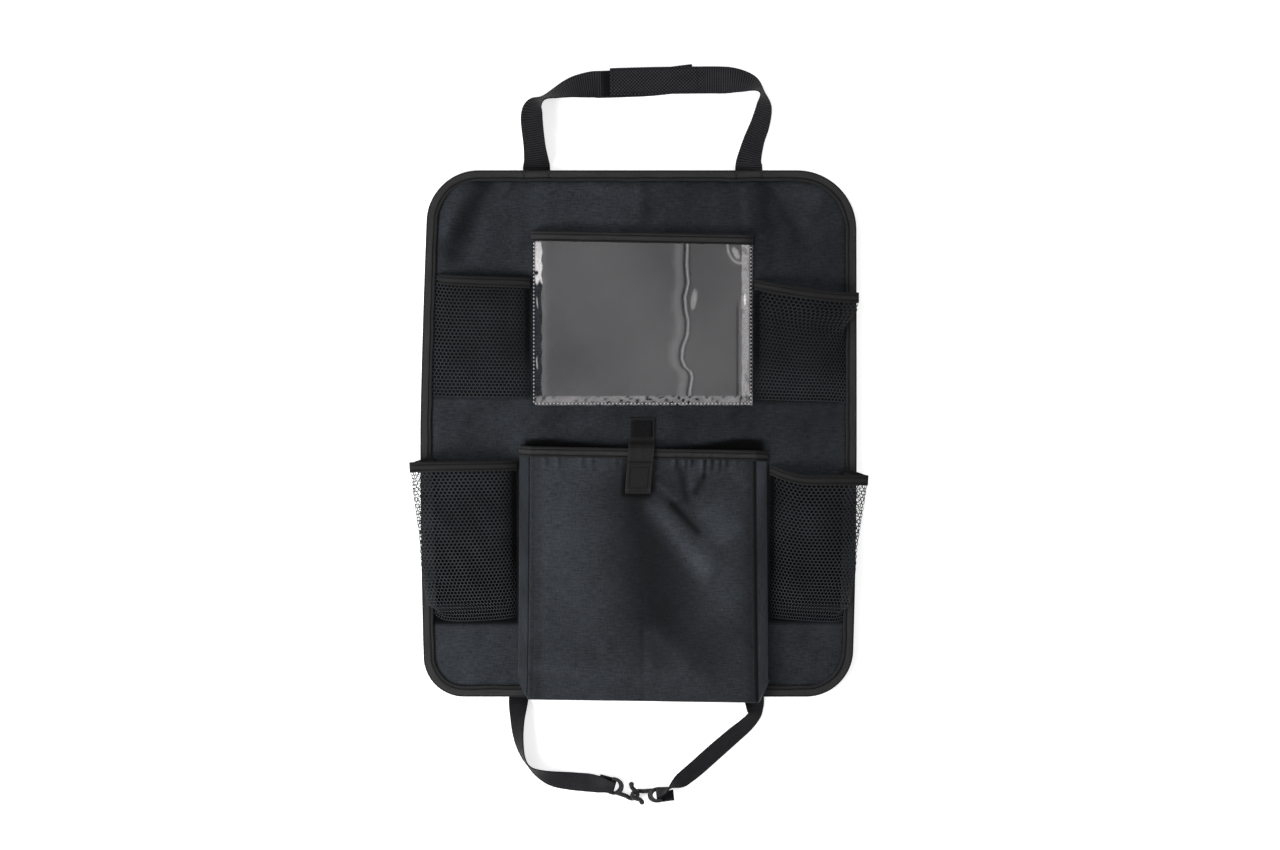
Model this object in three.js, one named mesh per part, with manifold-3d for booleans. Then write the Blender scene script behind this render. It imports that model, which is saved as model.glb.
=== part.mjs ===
// Car seat back organizer, lying flat with its front up.
// Millimetres. +X is the front's right side, +Y points to the headrest strap and +Z out of the front.
// The origin lies under the panel's centre, on the plane that the organizer rests on.
import * as THREE from "three";
import { mergeVertices } from "three/addons/utils/BufferGeometryUtils.js";
import Module from "manifold-3d";

const wasm = await Module();
wasm.setup();

// Driving dimensions
const GAP = 0.3; // left between pieces that touch

const PANEL = {
  width: 478, // at half height, where it is widest
  height: 577,
  // taper: how much the side comes in by that corner, and curve: how late it does so
  topLeft: { radius: 54, taper: 9, curve: 1.3 },
  topRight: { radius: 64, taper: 0.5, curve: 2 },
  bottomLeft: { radius: 42, taper: 5, curve: 2 },
  bottomRight: { radius: 49, taper: 5.5, curve: 2 },
  thickness: 2.4,
};

const TAPE = { thickness: 0.6, edgeThickness: 0.8, edgeLeg: 11, mouthLeg: 10.5 };
const NET = { thickness: 0.8 };
const CLOTH = { thickness: 0.8 };
const FILM = { thickness: 0.6 };
const WEBBING = { thickness: 1.4 };
const FASTENER = { thickness: 1.2 }; // hook tape and loop tape

const WINDOW = {
  left: -117,
  right: 125.5,
  bottom: 31,
  topLeft: 222,
  topRight: 217.5,
  crown: 7,
};

const POCKET = {
  footLeft: -130.5,
  footRight: 141,
  footSpread: 4, // the gussets' feet stand this much wider at the bottom
  gussetLean: 12.5, // how far a gusset leans in on its way up
  ridgeSpread: 6,
  mouthLeft: -14,
  mouthRight: -20.5,
  seamInset: 16, // the bottom seam lies this far inside the panel's bottom edge
  overhangLeft: 2, // past the panel's bottom edge
  overhangRight: 7,
  depth: 17,
  mouthDepth: 11,
};

// inner is the seam beside the middle pockets. mouth and bottom are heights on the panel.
const SEAM = { besideWindow: 2.5, besidePocket: 3.9 };
const UPPER_LEFT = {
  side: -1, inner: WINDOW.left - SEAM.besideWindow,
  mouthInner: 170, mouthOuter: 176, mouthDip: 0, dipEnd: 1,
  bottomInner: 38, bottomOuter: 40, bottomSag: 0, bulge: 9, overhang: 0, foldStart: 2,
};
const UPPER_RIGHT = {
  side: 1, inner: WINDOW.right + SEAM.besideWindow,
  mouthInner: 155, mouthOuter: 152.5, mouthDip: 13.5, dipEnd: 0.7,
  bottomInner: 36, bottomOuter: 32, bottomSag: 0, bulge: 15, overhang: 0.5, foldStart: 0.55,
};
const LOWER_LEFT = {
  side: -1, inner: POCKET.footLeft - SEAM.besidePocket,
  mouthInner: -30, mouthOuter: -35, mouthDip: 0, dipEnd: 1,
  bottomInner: -203, bottomOuter: -196, bottomSag: 8, bulge: 21, overhang: 10.5, foldStart: 0.36,
};
const LOWER_RIGHT = {
  side: 1, inner: POCKET.footRight + SEAM.besidePocket,
  mouthInner: -46, mouthOuter: -47, mouthDip: 11, dipEnd: 0.22,
  bottomInner: -203, bottomOuter: -206, bottomSag: 4, bulge: 20, overhang: 11.5, foldStart: 0.36,
};

const CLOSURE = {
  width: 28.5,
  baseX: 3.5,
  endX: -0.5,
  baseTop: 17,
  baseEnd: -4,
  end: -66,
  patchInset: 3,
  basePatchLength: 21,
  fastenerLength: 26,
};

const HEADREST = {
  width: 30,
  fastenerWidth: 27,
  hookTapeFrames: 10, // how many of the strap's last frames each tape covers
  loopTapeFrames: 11,
  // [x, y from the panel's top edge, roll in degrees, lift]: the roll raises the loop's inner edge
  left: [
    [-112.2, -28.5, 0, 0], [-112.2, -13.5, 0, 0], [-112.2, 2.5, 0, 0], [-112.6, 12.5, 24, 0],
    [-114.4, 28.5, 36, 0], [-117.4, 58.5, 36, 0], [-114.6, 71.5, 46, 0], [-105, 79.5, 76, 0],
    [-90.5, 85.5, 62, 0], [-72, 92, 36, 0], [-52.5, 95.4, 12, 0], [-40, 95.9, 0, 0],
    [-10, 96.9, 0, 0], [18.5, 98.5, 0, 0], [60.5, 103.5, 0, 0],
  ],
  right: [
    [121.4, -28.5, 0, 0], [121.4, -13.5, 0, 0], [121.4, 2.5, 0, 0], [121.8, 13.5, 26, 0],
    [127, 33.5, 40, 0], [134, 52.5, 46, 0], [138, 71.5, 56, 0], [135.8, 86, 77, 0],
    [125, 95.5, 50, 0], [108.5, 99.5, 24, 1], [90, 100.3, 0, 4.2], [70, 100.2, 0, 6],
    [40, 99.9, 0, 6], [12.7, 99.5, 0, 6], [-31.4, 98.3, 0, 6],
  ],
};

const SEAT = {
  width: 21.5,
  // y is from the panel's bottom edge
  left: [
    [-132, 29.5, 0, 0], [-132, 13.5, 0, 0], [-132, -2, 0, 0], [-132.5, -11.5, 20, 0],
    [-133, -23.5, 40, 0], [-132.6, -39.5, 54, 0], [-130.4, -54.5, 66, 0], [-126.4, -67.5, 78, 0],
    [-120.4, -77, 82, 0], [-110.5, -84.5, 64, 0], [-94.5, -90.9, 36, 0],
    [-76, -93.7, 20, 0], [-56, -95.5, 14, 1],
  ],
  right: [
    [127.5, 29.5, 0, 0], [127.5, 13.5, 0, 0], [127.5, -2, 0, 0], [128, -12.5, 26, 0],
    [127, -21.5, 46, 0], [118, -32, 40, 0], [104.5, -43.5, 33, 0], [83, -62.3, 29, 0],
    [62.5, -80.5, 30, 0], [47.5, -92.5, 36, 1],
  ],
  tailLength: 15, // turned back round the hook's bar and sewn down
};

const HOOK = {
  thickness: 4.2,
  bevel: 0.7,
  eyeLength: 15,
  eyeHalfHeight: 12,
  barWidth: 2.8,
  rimWidth: 5.4,
  slotHalfHeight: 9.4,
  ringRadius: 6.8,
  wireRadius: 2.5,
  ringAlong: 17.5, // from the eye's centre to the ring's centre
  ringAside: -4.5,
  leftEye: [-23.7, -99.6], // y from the panel's bottom edge
  leftLift: 11,
  leftHeading: -15,
  leftTilt: 38,
  rightHeading: 187,
  rightTilt: 122,
  linkHeading: -6,
  linkRise: 1.2,
  linkPlay: 0.9, // between the two wires inside the link
};

const COLOURS = {
  cloth: 0x2a2e34, binding: 0x242322, net: 0x1e1e20, webbing: 0x262628,
  film: 0x5a5a5c, fastener: 0x1b1b1c, plastic: 0x1c1c1e,
};

// Heights of the layers, from the resting plane up
const LAYERS = { strapTop: WEBBING.thickness };
LAYERS.bindingBottom = LAYERS.strapTop + GAP;
LAYERS.panelBottom = LAYERS.bindingBottom + TAPE.edgeThickness + GAP;
LAYERS.panelTop = LAYERS.panelBottom + PANEL.thickness;
LAYERS.legBottom = LAYERS.panelTop + GAP + NET.thickness + GAP;
LAYERS.legTop = LAYERS.legBottom + TAPE.edgeThickness;

const radians = THREE.MathUtils.degToRad;
const lerp = THREE.MathUtils.lerp;
const clamp01 = (t) => Math.min(Math.max(t, 0), 1);
const ease = (from, to, t) => THREE.MathUtils.smoothstep(t, from, to);

const organizer = new THREE.Group();

function addPiece(name, geometry, colour, roughness = 0.85) {
  const material = new THREE.MeshStandardMaterial({ color: colour, roughness, metalness: 0 });
  const mesh = new THREE.Mesh(geometry, material);
  mesh.name = name;
  organizer.add(mesh);
  return mesh;
}

function meshFrom(points, triangles) {
  const geometry = new THREE.BufferGeometry();
  geometry.setAttribute("position", new THREE.Float32BufferAttribute(points.flat(), 3));
  geometry.setIndex(triangles.flat());
  return geometry;
}

// A closed sheet of even thickness about surface(u, v), with u and v from 0 to 1
function sheetSolid(surface, columns, rows, thickness) {
  const points = [];
  const step = 1e-3;
  const normalAt = (u, v) => {
    const along = surface(Math.min(u + step, 1), v).sub(surface(Math.max(u - step, 0), v));
    const up = surface(u, Math.min(v + step, 1)).sub(surface(u, Math.max(v - step, 0)));
    return along.cross(up).normalize();
  };
  for (const sign of [1, -1]) {
    for (let j = 0; j <= rows; j++) {
      for (let i = 0; i <= columns; i++) {
        const [u, v] = [i / columns, j / rows];
        const p = surface(u, v).addScaledVector(normalAt(u, v), (sign * thickness) / 2);
        points.push([p.x, p.y, p.z]);
      }
    }
  }
  const width = columns + 1;
  const below = width * (rows + 1);
  const triangles = [];
  const quad = (a, b, c, d) => triangles.push([a, b, c], [a, c, d]);
  for (let j = 0; j < rows; j++) {
    for (let i = 0; i < columns; i++) {
      const a = j * width + i;
      quad(a, a + 1, a + width + 1, a + width);
      quad(below + a, below + a + width, below + a + width + 1, below + a + 1);
    }
  }
  for (let i = 0; i < columns; i++) {
    const top = rows * width + i;
    quad(i, below + i, below + i + 1, i + 1);
    quad(top, top + 1, below + top + 1, below + top);
  }
  for (let j = 0; j < rows; j++) {
    const a = j * width;
    const b = a + columns;
    quad(a, a + width, below + a + width, below + a);
    quad(b, below + b, below + b + width, b + width);
  }
  return meshFrom(points, triangles);
}

// A solid through rings of equally many points, closed on itself or capped at both ends.
// The rings run anticlockwise when seen from the last one.
function loftSolid(rings, closed, cap) {
  const count = rings[0].length;
  const triangles = [];
  const last = closed ? rings.length : rings.length - 1;
  for (let r = 0; r < last; r++) {
    const a = r * count;
    const b = ((r + 1) % rings.length) * count;
    for (let k = 0; k < count; k++) {
      const next = (k + 1) % count;
      triangles.push([a + k, a + next, b + next], [a + k, b + next, b + k]);
    }
  }
  if (!closed) {
    const end = (rings.length - 1) * count;
    for (const [p, q, r] of cap) {
      triangles.push([r, q, p], [end + p, end + q, end + r]);
    }
  }
  return meshFrom(rings.flat(), triangles);
}

// A U section for tape folded over an edge: reach along the sheet, stack across it.
// Points are [along, across]: along is 0 at the folded edge and negative on the legs.
function foldedTapeSection(leg, halfInside, tape, inset) {
  const outside = halfInside + tape;
  const fold = inset + tape;
  return [
    [-leg, -outside], [fold - tape, -outside], [fold, -outside + tape], [fold, outside - tape],
    [fold - tape, outside], [-leg, outside], [-leg, halfInside], [inset, halfInside],
    [inset, -halfInside], [-leg, -halfInside],
  ];
}
const FOLDED_TAPE_CAP = [
  [0, 1, 8], [0, 8, 9], [1, 2, 8], [2, 3, 7], [2, 7, 8], [3, 4, 7], [4, 5, 6], [4, 6, 7],
];

// Tape folded over the mouth edge of a sheet, along the sheet's columns from first to last
function mouthTape(surface, columns, first, last, sheetThickness) {
  const section = foldedTapeSection(
    TAPE.mouthLeg, sheetThickness / 2 + GAP, TAPE.thickness, GAP,
  );
  const rings = [];
  const step = 2e-3;
  for (let i = first; i <= last; i++) {
    const u = i / columns;
    const edge = surface(u, 1);
    const up = surface(u, 1).sub(surface(u, 0.98)).normalize();
    const along = surface(Math.min(u + step, 1), 1).sub(surface(Math.max(u - step, 0), 1));
    const across = along.cross(up).normalize();
    rings.push(section.map(([t, n]) => {
      const p = edge.clone().addScaledVector(up, t).addScaledVector(across, n);
      return [p.x, p.y, p.z];
    }));
  }
  return loftSolid(rings, false, FOLDED_TAPE_CAP);
}

// Panel: rounded corners, and long sides that come in a little towards them
const cornerAt = (side, y) => {
  if (y < 0) return side < 0 ? PANEL.bottomLeft : PANEL.bottomRight;
  return side < 0 ? PANEL.topLeft : PANEL.topRight;
};

function panelEdge(side, y) {
  const half = PANEL.height / 2;
  const { radius, taper, curve } = cornerAt(side, y);
  const intoCorner = Math.max(Math.abs(y) - (half - radius), 0);
  const cut = radius - Math.sqrt(Math.max(radius * radius - intoCorner * intoCorner, 0));
  return PANEL.width / 2 - taper * (Math.abs(y) / half) ** curve - cut;
}

function panelRows() {
  const half = PANEL.height / 2;
  const steps = 6;
  const straight = 8;
  const top = Math.max(PANEL.topLeft.radius, PANEL.topRight.radius);
  const bottom = Math.max(PANEL.bottomLeft.radius, PANEL.bottomRight.radius);
  const rows = [];
  for (let k = 0; k < steps; k++) {
    rows.push(-half + bottom * (1 - Math.cos((k / steps) * (Math.PI / 2))));
  }
  for (let k = 0; k < straight; k++) {
    rows.push(lerp(-half + bottom, half - top, k / straight));
  }
  for (let k = 0; k <= steps; k++) {
    rows.push(half - top * (1 - Math.sin((k / steps) * (Math.PI / 2))));
  }
  return rows;
}

const ROWS = panelRows();

function panelSolid() {
  const middle = (LAYERS.panelTop + LAYERS.panelBottom) / 2;
  const columns = 6;
  const surface = (u, v) => {
    const place = v * (ROWS.length - 1);
    const row = Math.min(Math.floor(place), ROWS.length - 2);
    const y = lerp(ROWS[row], ROWS[row + 1], place - row);
    return new THREE.Vector3(lerp(-panelEdge(-1, y), panelEdge(1, y), u), y, middle);
  };
  return sheetSolid(surface, columns, ROWS.length - 1, PANEL.thickness);
}

function panelOutline() {
  const half = PANEL.height / 2;
  const along = 8;
  const points = ROWS.map((y) => [panelEdge(1, y), y]);
  const right = [panelEdge(1, half), panelEdge(1, -half)];
  const left = [-panelEdge(-1, half), -panelEdge(-1, -half)];
  for (let k = 1; k < along; k++) points.push([lerp(right[0], left[0], k / along), half]);
  points.push(...ROWS.map((y) => [-panelEdge(-1, y), y]).reverse());
  for (let k = 1; k < along; k++) points.push([lerp(left[1], right[1], k / along), -half]);
  return points;
}

// Edge binding: one tape folded round the panel's whole edge
function edgeBinding() {
  const outline = panelOutline();
  const middle = (LAYERS.bindingBottom + LAYERS.legTop) / 2;
  const halfInside = (LAYERS.legTop - LAYERS.bindingBottom) / 2 - TAPE.edgeThickness;
  const section = foldedTapeSection(TAPE.edgeLeg, halfInside, TAPE.edgeThickness, GAP);
  const rings = outline.map(([x, y], i) => {
    const [ax, ay] = outline[(i + outline.length - 1) % outline.length];
    const [bx, by] = outline[(i + 1) % outline.length];
    const outward = new THREE.Vector2(by - ay, ax - bx).normalize();
    return section.map(([t, n]) => [x + outward.x * t, y + outward.y * t, middle - n]);
  });
  return loftSolid(rings, true);
}

// Net pockets. A section runs from the inner seam to the edge tucked under the binding's upper leg.
// Where the pocket stands open, the net passes out over the leg and folds back under it.
const NET_COLUMNS = Math.round(PANEL.width / 20); // strips of about 4.5 mm
const NET_ROWS = 10;
const NET_BULGE = [0, 0.42, 0.78, 0.97, 1, 0.93, 0.8, 0.62, 0.42, 0.22, 0.08, 0, 0];
const NET_REACH = [0, 0.08, 0.22, 0.4, 0.56, 0.7, 0.8, 0.88, 0.93, 0.97, 1];

function netSection(pocket, y, height, fold, lift) {
  const seat = LAYERS.panelTop + GAP + NET.thickness / 2;
  const over = LAYERS.legTop + GAP + TAPE.thickness + GAP + NET.thickness / 2 + 0.2;
  const edge = panelEdge(pocket.side, y);
  const inner = Math.abs(pocket.inner);
  const legEnd = edge - TAPE.edgeLeg;
  const reach = edge - inner;
  const past = pocket.overhang;
  const laid = NET_BULGE.map((share, k) => {
    if (k > 10) return [legEnd + (k === 11 ? -0.8 : 6), seat];
    return [lerp(inner, legEnd - 3, NET_REACH[k]), seat + share * height];
  });
  const folded = [
    [inner, seat], [inner + 0.1 * reach, seat + 0.42 * height],
    [inner + 0.3 * reach, seat + 0.8 * height], [inner + 0.58 * reach, seat + height],
    [inner + 0.84 * reach, seat + 0.95 * height], [edge + 0.8 * past, seat + 0.76 * height],
    [edge + past, Math.max(seat + 0.55 * height, over + 1.5)],
    [lerp(edge - 5, edge + past, 0.66), over + 0.6], [edge - 5, over], [legEnd - 1.5, over - 0.2],
    [legEnd - 3.2, (over + seat) / 2], [legEnd - 1.2, seat], [legEnd + 6, seat],
  ];
  return laid.map(([x, z], k) => {
    const raised = k < 3 ? lift * (1 - k / 3) : 0;
    const [fx, fz] = folded[k];
    return new THREE.Vector3(pocket.side * lerp(x, fx, fold), 0, lerp(z, fz, fold) + raised);
  });
}

function netSurface(pocket) {
  const mouthShare = 0.88; // above this share of the height the section no longer changes
  return (u, v) => {
    const shape = clamp01(v / mouthShare);
    const height = pocket.bulge * (1 - (1 - shape) ** 2.2);
    const fold = pocket.overhang === 0 ? 0 : ease(pocket.foldStart, 1, shape);
    const dip = pocket.mouthDip * (1 - ease(0, pocket.dipEnd, u));
    const mouth = lerp(pocket.mouthInner, pocket.mouthOuter, u) + dip;
    const sag = pocket.bottomSag * Math.sin(Math.PI * u);
    const bottom = lerp(pocket.bottomInner, pocket.bottomOuter, u) - sag;
    const y = lerp(bottom, mouth, v);
    const lift = (TAPE.thickness + GAP) * ease(0.7, 1, shape);
    const points = netSection(pocket, y, height, fold, lift);
    const p = new THREE.CatmullRomCurve3(points, false, "catmullrom", 0.5).getPoint(u);
    return new THREE.Vector3(p.x, y, p.z);
  };
}

function addNetPocket(name, pocket) {
  const side = netSurface(pocket);
  const surface = pocket.side > 0 ? side : (u, v) => side(1 - u, v);
  const tapeShare = pocket.overhang === 0 ? 0.79 : 0.75; // of the columns, from the inner seam
  const tapeEnd = Math.round(tapeShare * NET_COLUMNS);
  const [first, last] = pocket.side > 0
    ? [0, tapeEnd]
    : [NET_COLUMNS - tapeEnd, NET_COLUMNS];
  addPiece(`${name}_net`, sheetSolid(surface, NET_COLUMNS, NET_ROWS, NET.thickness), COLOURS.net);
  addPiece(
    `${name}_binding`,
    mouthTape(surface, NET_COLUMNS, first, last, NET.thickness),
    COLOURS.binding,
  );
}

// Window pocket: clear film sewn on three sides, crowned so that a tablet slides in from the top
const WINDOW_COLUMNS = 16;
function windowSurface(u, v) {
  const lift = (TAPE.thickness + GAP) * ease(0.82, 0.93, v);
  const seat = LAYERS.panelTop + GAP + FILM.thickness / 2 + lift;
  const top = lerp(WINDOW.topLeft, WINDOW.topRight, u);
  const rise = WINDOW.crown * (1 - (2 * u - 1) ** 6) * ease(0, 0.15, v);
  const x = lerp(WINDOW.left, WINDOW.right, u);
  return new THREE.Vector3(x, lerp(WINDOW.bottom, top, v), seat + rise);
}

// Main pocket: front and side gussets in one cloth. The bottom hangs over the panel's bound edge.
const POCKET_COLUMNS = 26;
const POCKET_ROWS = 14;
const GUSSET_SHARE = 4 / POCKET_COLUMNS;
const FOLD_SHARE = 6 / POCKET_ROWS;

// Height share across the pocket: 0 at the gussets' feet, 1 on the front
function gussetRise(u) {
  const across = Math.min(u, 1 - u) / GUSSET_SHARE;
  return clamp01(across) ** 0.8;
}

function pocketAcross(u, v) {
  const spread = (1 - v) ** 2;
  const left = POCKET.footLeft - POCKET.footSpread * spread;
  const right = POCKET.footRight + POCKET.footSpread * spread;
  const ridgeLeft = POCKET.footLeft + POCKET.gussetLean - POCKET.ridgeSpread * spread;
  const ridgeRight = POCKET.footRight - POCKET.gussetLean + POCKET.ridgeSpread * spread;
  if (u < GUSSET_SHARE) return lerp(left, ridgeLeft, u / GUSSET_SHARE);
  if (u > 1 - GUSSET_SHARE) return lerp(right, ridgeRight, (1 - u) / GUSSET_SHARE);
  return lerp(ridgeLeft, ridgeRight, (u - GUSSET_SHARE) / (1 - 2 * GUSSET_SHARE));
}

// Path up the front at u, as [y, height share], from the bottom seam to above the fold
function pocketBottom(u) {
  const edge = -PANEL.height / 2;
  const out = edge - lerp(POCKET.overhangLeft, POCKET.overhangRight, u);
  const seam = edge + POCKET.seamInset;
  return [
    [seam, 0], [seam - 1.5, 0.24], [edge + 4, 0.4],
    [out + 1, 0.55], [out, 0.75], [out + 3, 0.93], [out + 14, 1],
  ];
}

function pocketSurface(u, v) {
  const rise = gussetRise(u);
  const path = pocketBottom(u);
  const mouth = lerp(POCKET.mouthLeft, POCKET.mouthRight, u);
  const foldTop = path[path.length - 1][0];
  const laidTop = foldTop + 12;
  let y;
  let share = 1;
  if (v < FOLD_SHARE) {
    const t = v / FOLD_SHARE;
    const curve = new THREE.CatmullRomCurve3(
      path.map(([py, s]) => new THREE.Vector3(py, s, 0)), false, "catmullrom", 0.5,
    );
    const p = curve.getPoint(t);
    y = lerp(lerp(path[0][0], laidTop, t), p.x, rise);
    share = p.y;
  } else {
    const t = (v - FOLD_SHARE) / (1 - FOLD_SHARE);
    y = lerp(lerp(laidTop, foldTop, rise), mouth, t);
  }
  const lift = (TAPE.thickness + GAP) * ease(0.8, 0.93, v) * (1 - rise);
  const depth = lerp(POCKET.depth, POCKET.mouthDepth, ease(0.6, 0.94, v));
  const seat = LAYERS.panelTop + GAP + CLOTH.thickness / 2;
  return new THREE.Vector3(pocketAcross(u, v), y, seat + lift + depth * rise * share);
}

// Height of the front's outer face at y, in the middle of the pocket
function frontHeight(y) {
  let [low, high] = [FOLD_SHARE, 1];
  for (let k = 0; k < 30; k++) {
    const middle = (low + high) / 2;
    if (pocketSurface(0.5, middle).y < y) low = middle;
    else high = middle;
  }
  return pocketSurface(0.5, low).z + CLOTH.thickness / 2;
}

// Straps
function ribbonSolid(frames, thickness) {
  const rings = frames.map(({ centre, across, along, width }) => {
    const normal = along.clone().cross(across).normalize();
    const corner = (s, t) => {
      const p = centre.clone()
        .addScaledVector(across, (s * width) / 2)
        .addScaledVector(normal, (t * thickness) / 2);
      return [p.x, p.y, p.z];
    };
    return [corner(-1, -1), corner(1, -1), corner(1, 1), corner(-1, 1)];
  });
  return loftSolid(rings, false, [[0, 1, 2], [0, 2, 3]]);
}

// Frames along hand-placed stations, with y from edge. turn is +1 where the loop's inside is on the left.
function strapFrames(stations, edge, width, turn, perStation = 3) {
  const path = new THREE.CatmullRomCurve3(
    stations.map(([x, y]) => new THREE.Vector3(x, edge + y, 0)), false, "catmullrom", 0.5,
  );
  const attitude = new THREE.CatmullRomCurve3(
    stations.map(([, , roll, lift]) => new THREE.Vector3(roll, lift, 0)), false, "catmullrom", 0.5,
  );
  const count = (stations.length - 1) * perStation;
  const frames = [];
  for (let k = 0; k <= count; k++) {
    const t = k / count;
    const { x: roll, y: lift } = attitude.getPoint(t);
    const along = path.getTangent(t);
    const tilt = radians(Math.max(roll, 0));
    const inward = new THREE.Vector3(-along.y * turn, along.x * turn, 0);
    const across = inward.multiplyScalar(Math.cos(tilt)).setZ(Math.sin(tilt));
    const floor = (width / 2) * Math.sin(tilt) + (WEBBING.thickness / 2) * Math.cos(tilt);
    const centre = path.getPoint(t).setZ(floor + Math.max(lift, 0));
    frames.push({ centre, across: across.multiplyScalar(turn), along, width });
  }
  return frames;
}

// Hooks. In a hook's own plane, a runs from the strap's bar to the ring and b across.
function hookAxes(heading, tilt, flip) {
  const a = new THREE.Vector3(Math.cos(radians(heading)), Math.sin(radians(heading)), 0);
  const level = new THREE.Vector3(-a.y, a.x, 0).multiplyScalar(flip);
  const b = level.multiplyScalar(Math.cos(radians(tilt))).setZ(Math.sin(radians(tilt)));
  return { a, b, n: a.clone().cross(b) };
}

function hookPlaces() {
  const left = hookAxes(HOOK.leftHeading, HOOK.leftTilt, 1);
  const [eyeX, eyeY] = HOOK.leftEye;
  left.eye = new THREE.Vector3(eyeX, eyeY - PANEL.height / 2, HOOK.leftLift);
  const ring = left.eye.clone()
    .addScaledVector(left.a, HOOK.ringAlong)
    .addScaledVector(left.b, HOOK.ringAside);
  const apart = 2 * (HOOK.ringRadius - HOOK.wireRadius) - HOOK.linkPlay;
  const pull = radians(HOOK.linkHeading);
  const right = hookAxes(HOOK.rightHeading, HOOK.rightTilt, -1);
  right.eye = ring
    .add(new THREE.Vector3(apart * Math.cos(pull), apart * Math.sin(pull), HOOK.linkRise))
    .addScaledVector(right.a, -HOOK.ringAlong)
    .addScaledVector(right.b, -HOOK.ringAside);
  return { left, right };
}

function solidFrom(geometry) {
  const bare = geometry.index ? geometry.clone() : geometry;
  bare.deleteAttribute("normal");
  bare.deleteAttribute("uv");
  const merged = mergeVertices(bare, 1e-4);
  return new wasm.Manifold(new wasm.Mesh({
    numProp: 3,
    vertProperties: new Float32Array(merged.attributes.position.array),
    triVerts: new Uint32Array(merged.index.array),
  }));
}

function geometryFrom(solid) {
  const { vertProperties, triVerts } = solid.getMesh();
  const geometry = new THREE.BufferGeometry();
  geometry.setAttribute("position", new THREE.BufferAttribute(vertProperties, 3));
  geometry.setIndex(new THREE.BufferAttribute(triVerts, 1));
  return geometry;
}

// The eye: a D with a straight bar for the strap
function eyeShape() {
  const half = HOOK.eyeLength / 2;
  const corner = 2;
  const outline = new THREE.Shape();
  outline.moveTo(-half + corner, -HOOK.eyeHalfHeight);
  outline.lineTo(-half / 2, -HOOK.eyeHalfHeight);
  outline.absellipse(-half / 2, 0, 1.5 * half, HOOK.eyeHalfHeight, -Math.PI / 2, Math.PI / 2, false);
  outline.lineTo(-half + corner, HOOK.eyeHalfHeight);
  outline.quadraticCurveTo(-half, HOOK.eyeHalfHeight, -half, HOOK.eyeHalfHeight - corner);
  outline.lineTo(-half, -HOOK.eyeHalfHeight + corner);
  outline.quadraticCurveTo(-half, -HOOK.eyeHalfHeight, -half + corner, -HOOK.eyeHalfHeight);
  const slotLeft = -half + HOOK.barWidth;
  const slotLength = HOOK.eyeLength - HOOK.barWidth - HOOK.rimWidth;
  const slot = new THREE.Path();
  slot.moveTo(slotLeft, -HOOK.slotHalfHeight);
  slot.lineTo(slotLeft + 1, -HOOK.slotHalfHeight);
  slot.absellipse(
    slotLeft + 1, 0, slotLength - 1, HOOK.slotHalfHeight, -Math.PI / 2, Math.PI / 2, false,
  );
  slot.lineTo(slotLeft, HOOK.slotHalfHeight);
  slot.lineTo(slotLeft, -HOOK.slotHalfHeight);
  outline.holes.push(slot);
  return outline;
}

// The wire leaves the eye's lower corner, runs round the ring and flares out at its tip
function hookWire() {
  const { ringAlong: x, ringAside: y, ringRadius: r } = HOOK;
  const onRing = (degrees) => new THREE.Vector3(
    x + r * Math.cos(radians(degrees)), y + r * Math.sin(radians(degrees)), 0,
  );
  const ring = [-128, -100, -70, -40, -10, 20, 50].map(onRing);
  const start = new THREE.Vector3(1, -HOOK.eyeHalfHeight + 3.4, 0);
  const flare = [
    new THREE.Vector3(x + 0.3, y + r + 1.1, 0),
    new THREE.Vector3(x - 2.2, y + r + 3.8, 0),
    new THREE.Vector3(x - 2.9, y + r + 7, 0),
  ];
  return new THREE.CatmullRomCurve3([start, ...ring, ...flare], false, "centripetal");
}

function hookSolid() {
  const eye = new THREE.ExtrudeGeometry(eyeShape(), {
    depth: HOOK.thickness - 2 * HOOK.bevel,
    bevelThickness: HOOK.bevel,
    bevelSize: HOOK.bevel,
    bevelOffset: -HOOK.bevel,
    bevelSegments: 1,
    curveSegments: 7,
  });
  eye.translate(0, 0, -HOOK.thickness / 2 + HOOK.bevel);
  const wirePath = hookWire();
  const section = new THREE.Shape().absarc(0, 0, HOOK.wireRadius, 0, 2 * Math.PI, false);
  const wire = new THREE.ExtrudeGeometry(section, {
    steps: 22, curveSegments: 4, extrudePath: wirePath,
  });
  const knob = new THREE.SphereGeometry(HOOK.wireRadius * 1.2, 8, 6);
  knob.rotateX(Math.PI / 2).translate(...wirePath.getPoint(1).toArray());
  return solidFrom(eye).add(solidFrom(wire)).add(solidFrom(knob));
}

function placeHook(name, place) {
  const mesh = addPiece(name, geometryFrom(hookSolid()), COLOURS.plastic, 0.45);
  mesh.applyMatrix4(
    new THREE.Matrix4().makeBasis(place.a, place.b, place.n).setPosition(place.eye),
  );
}

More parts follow.
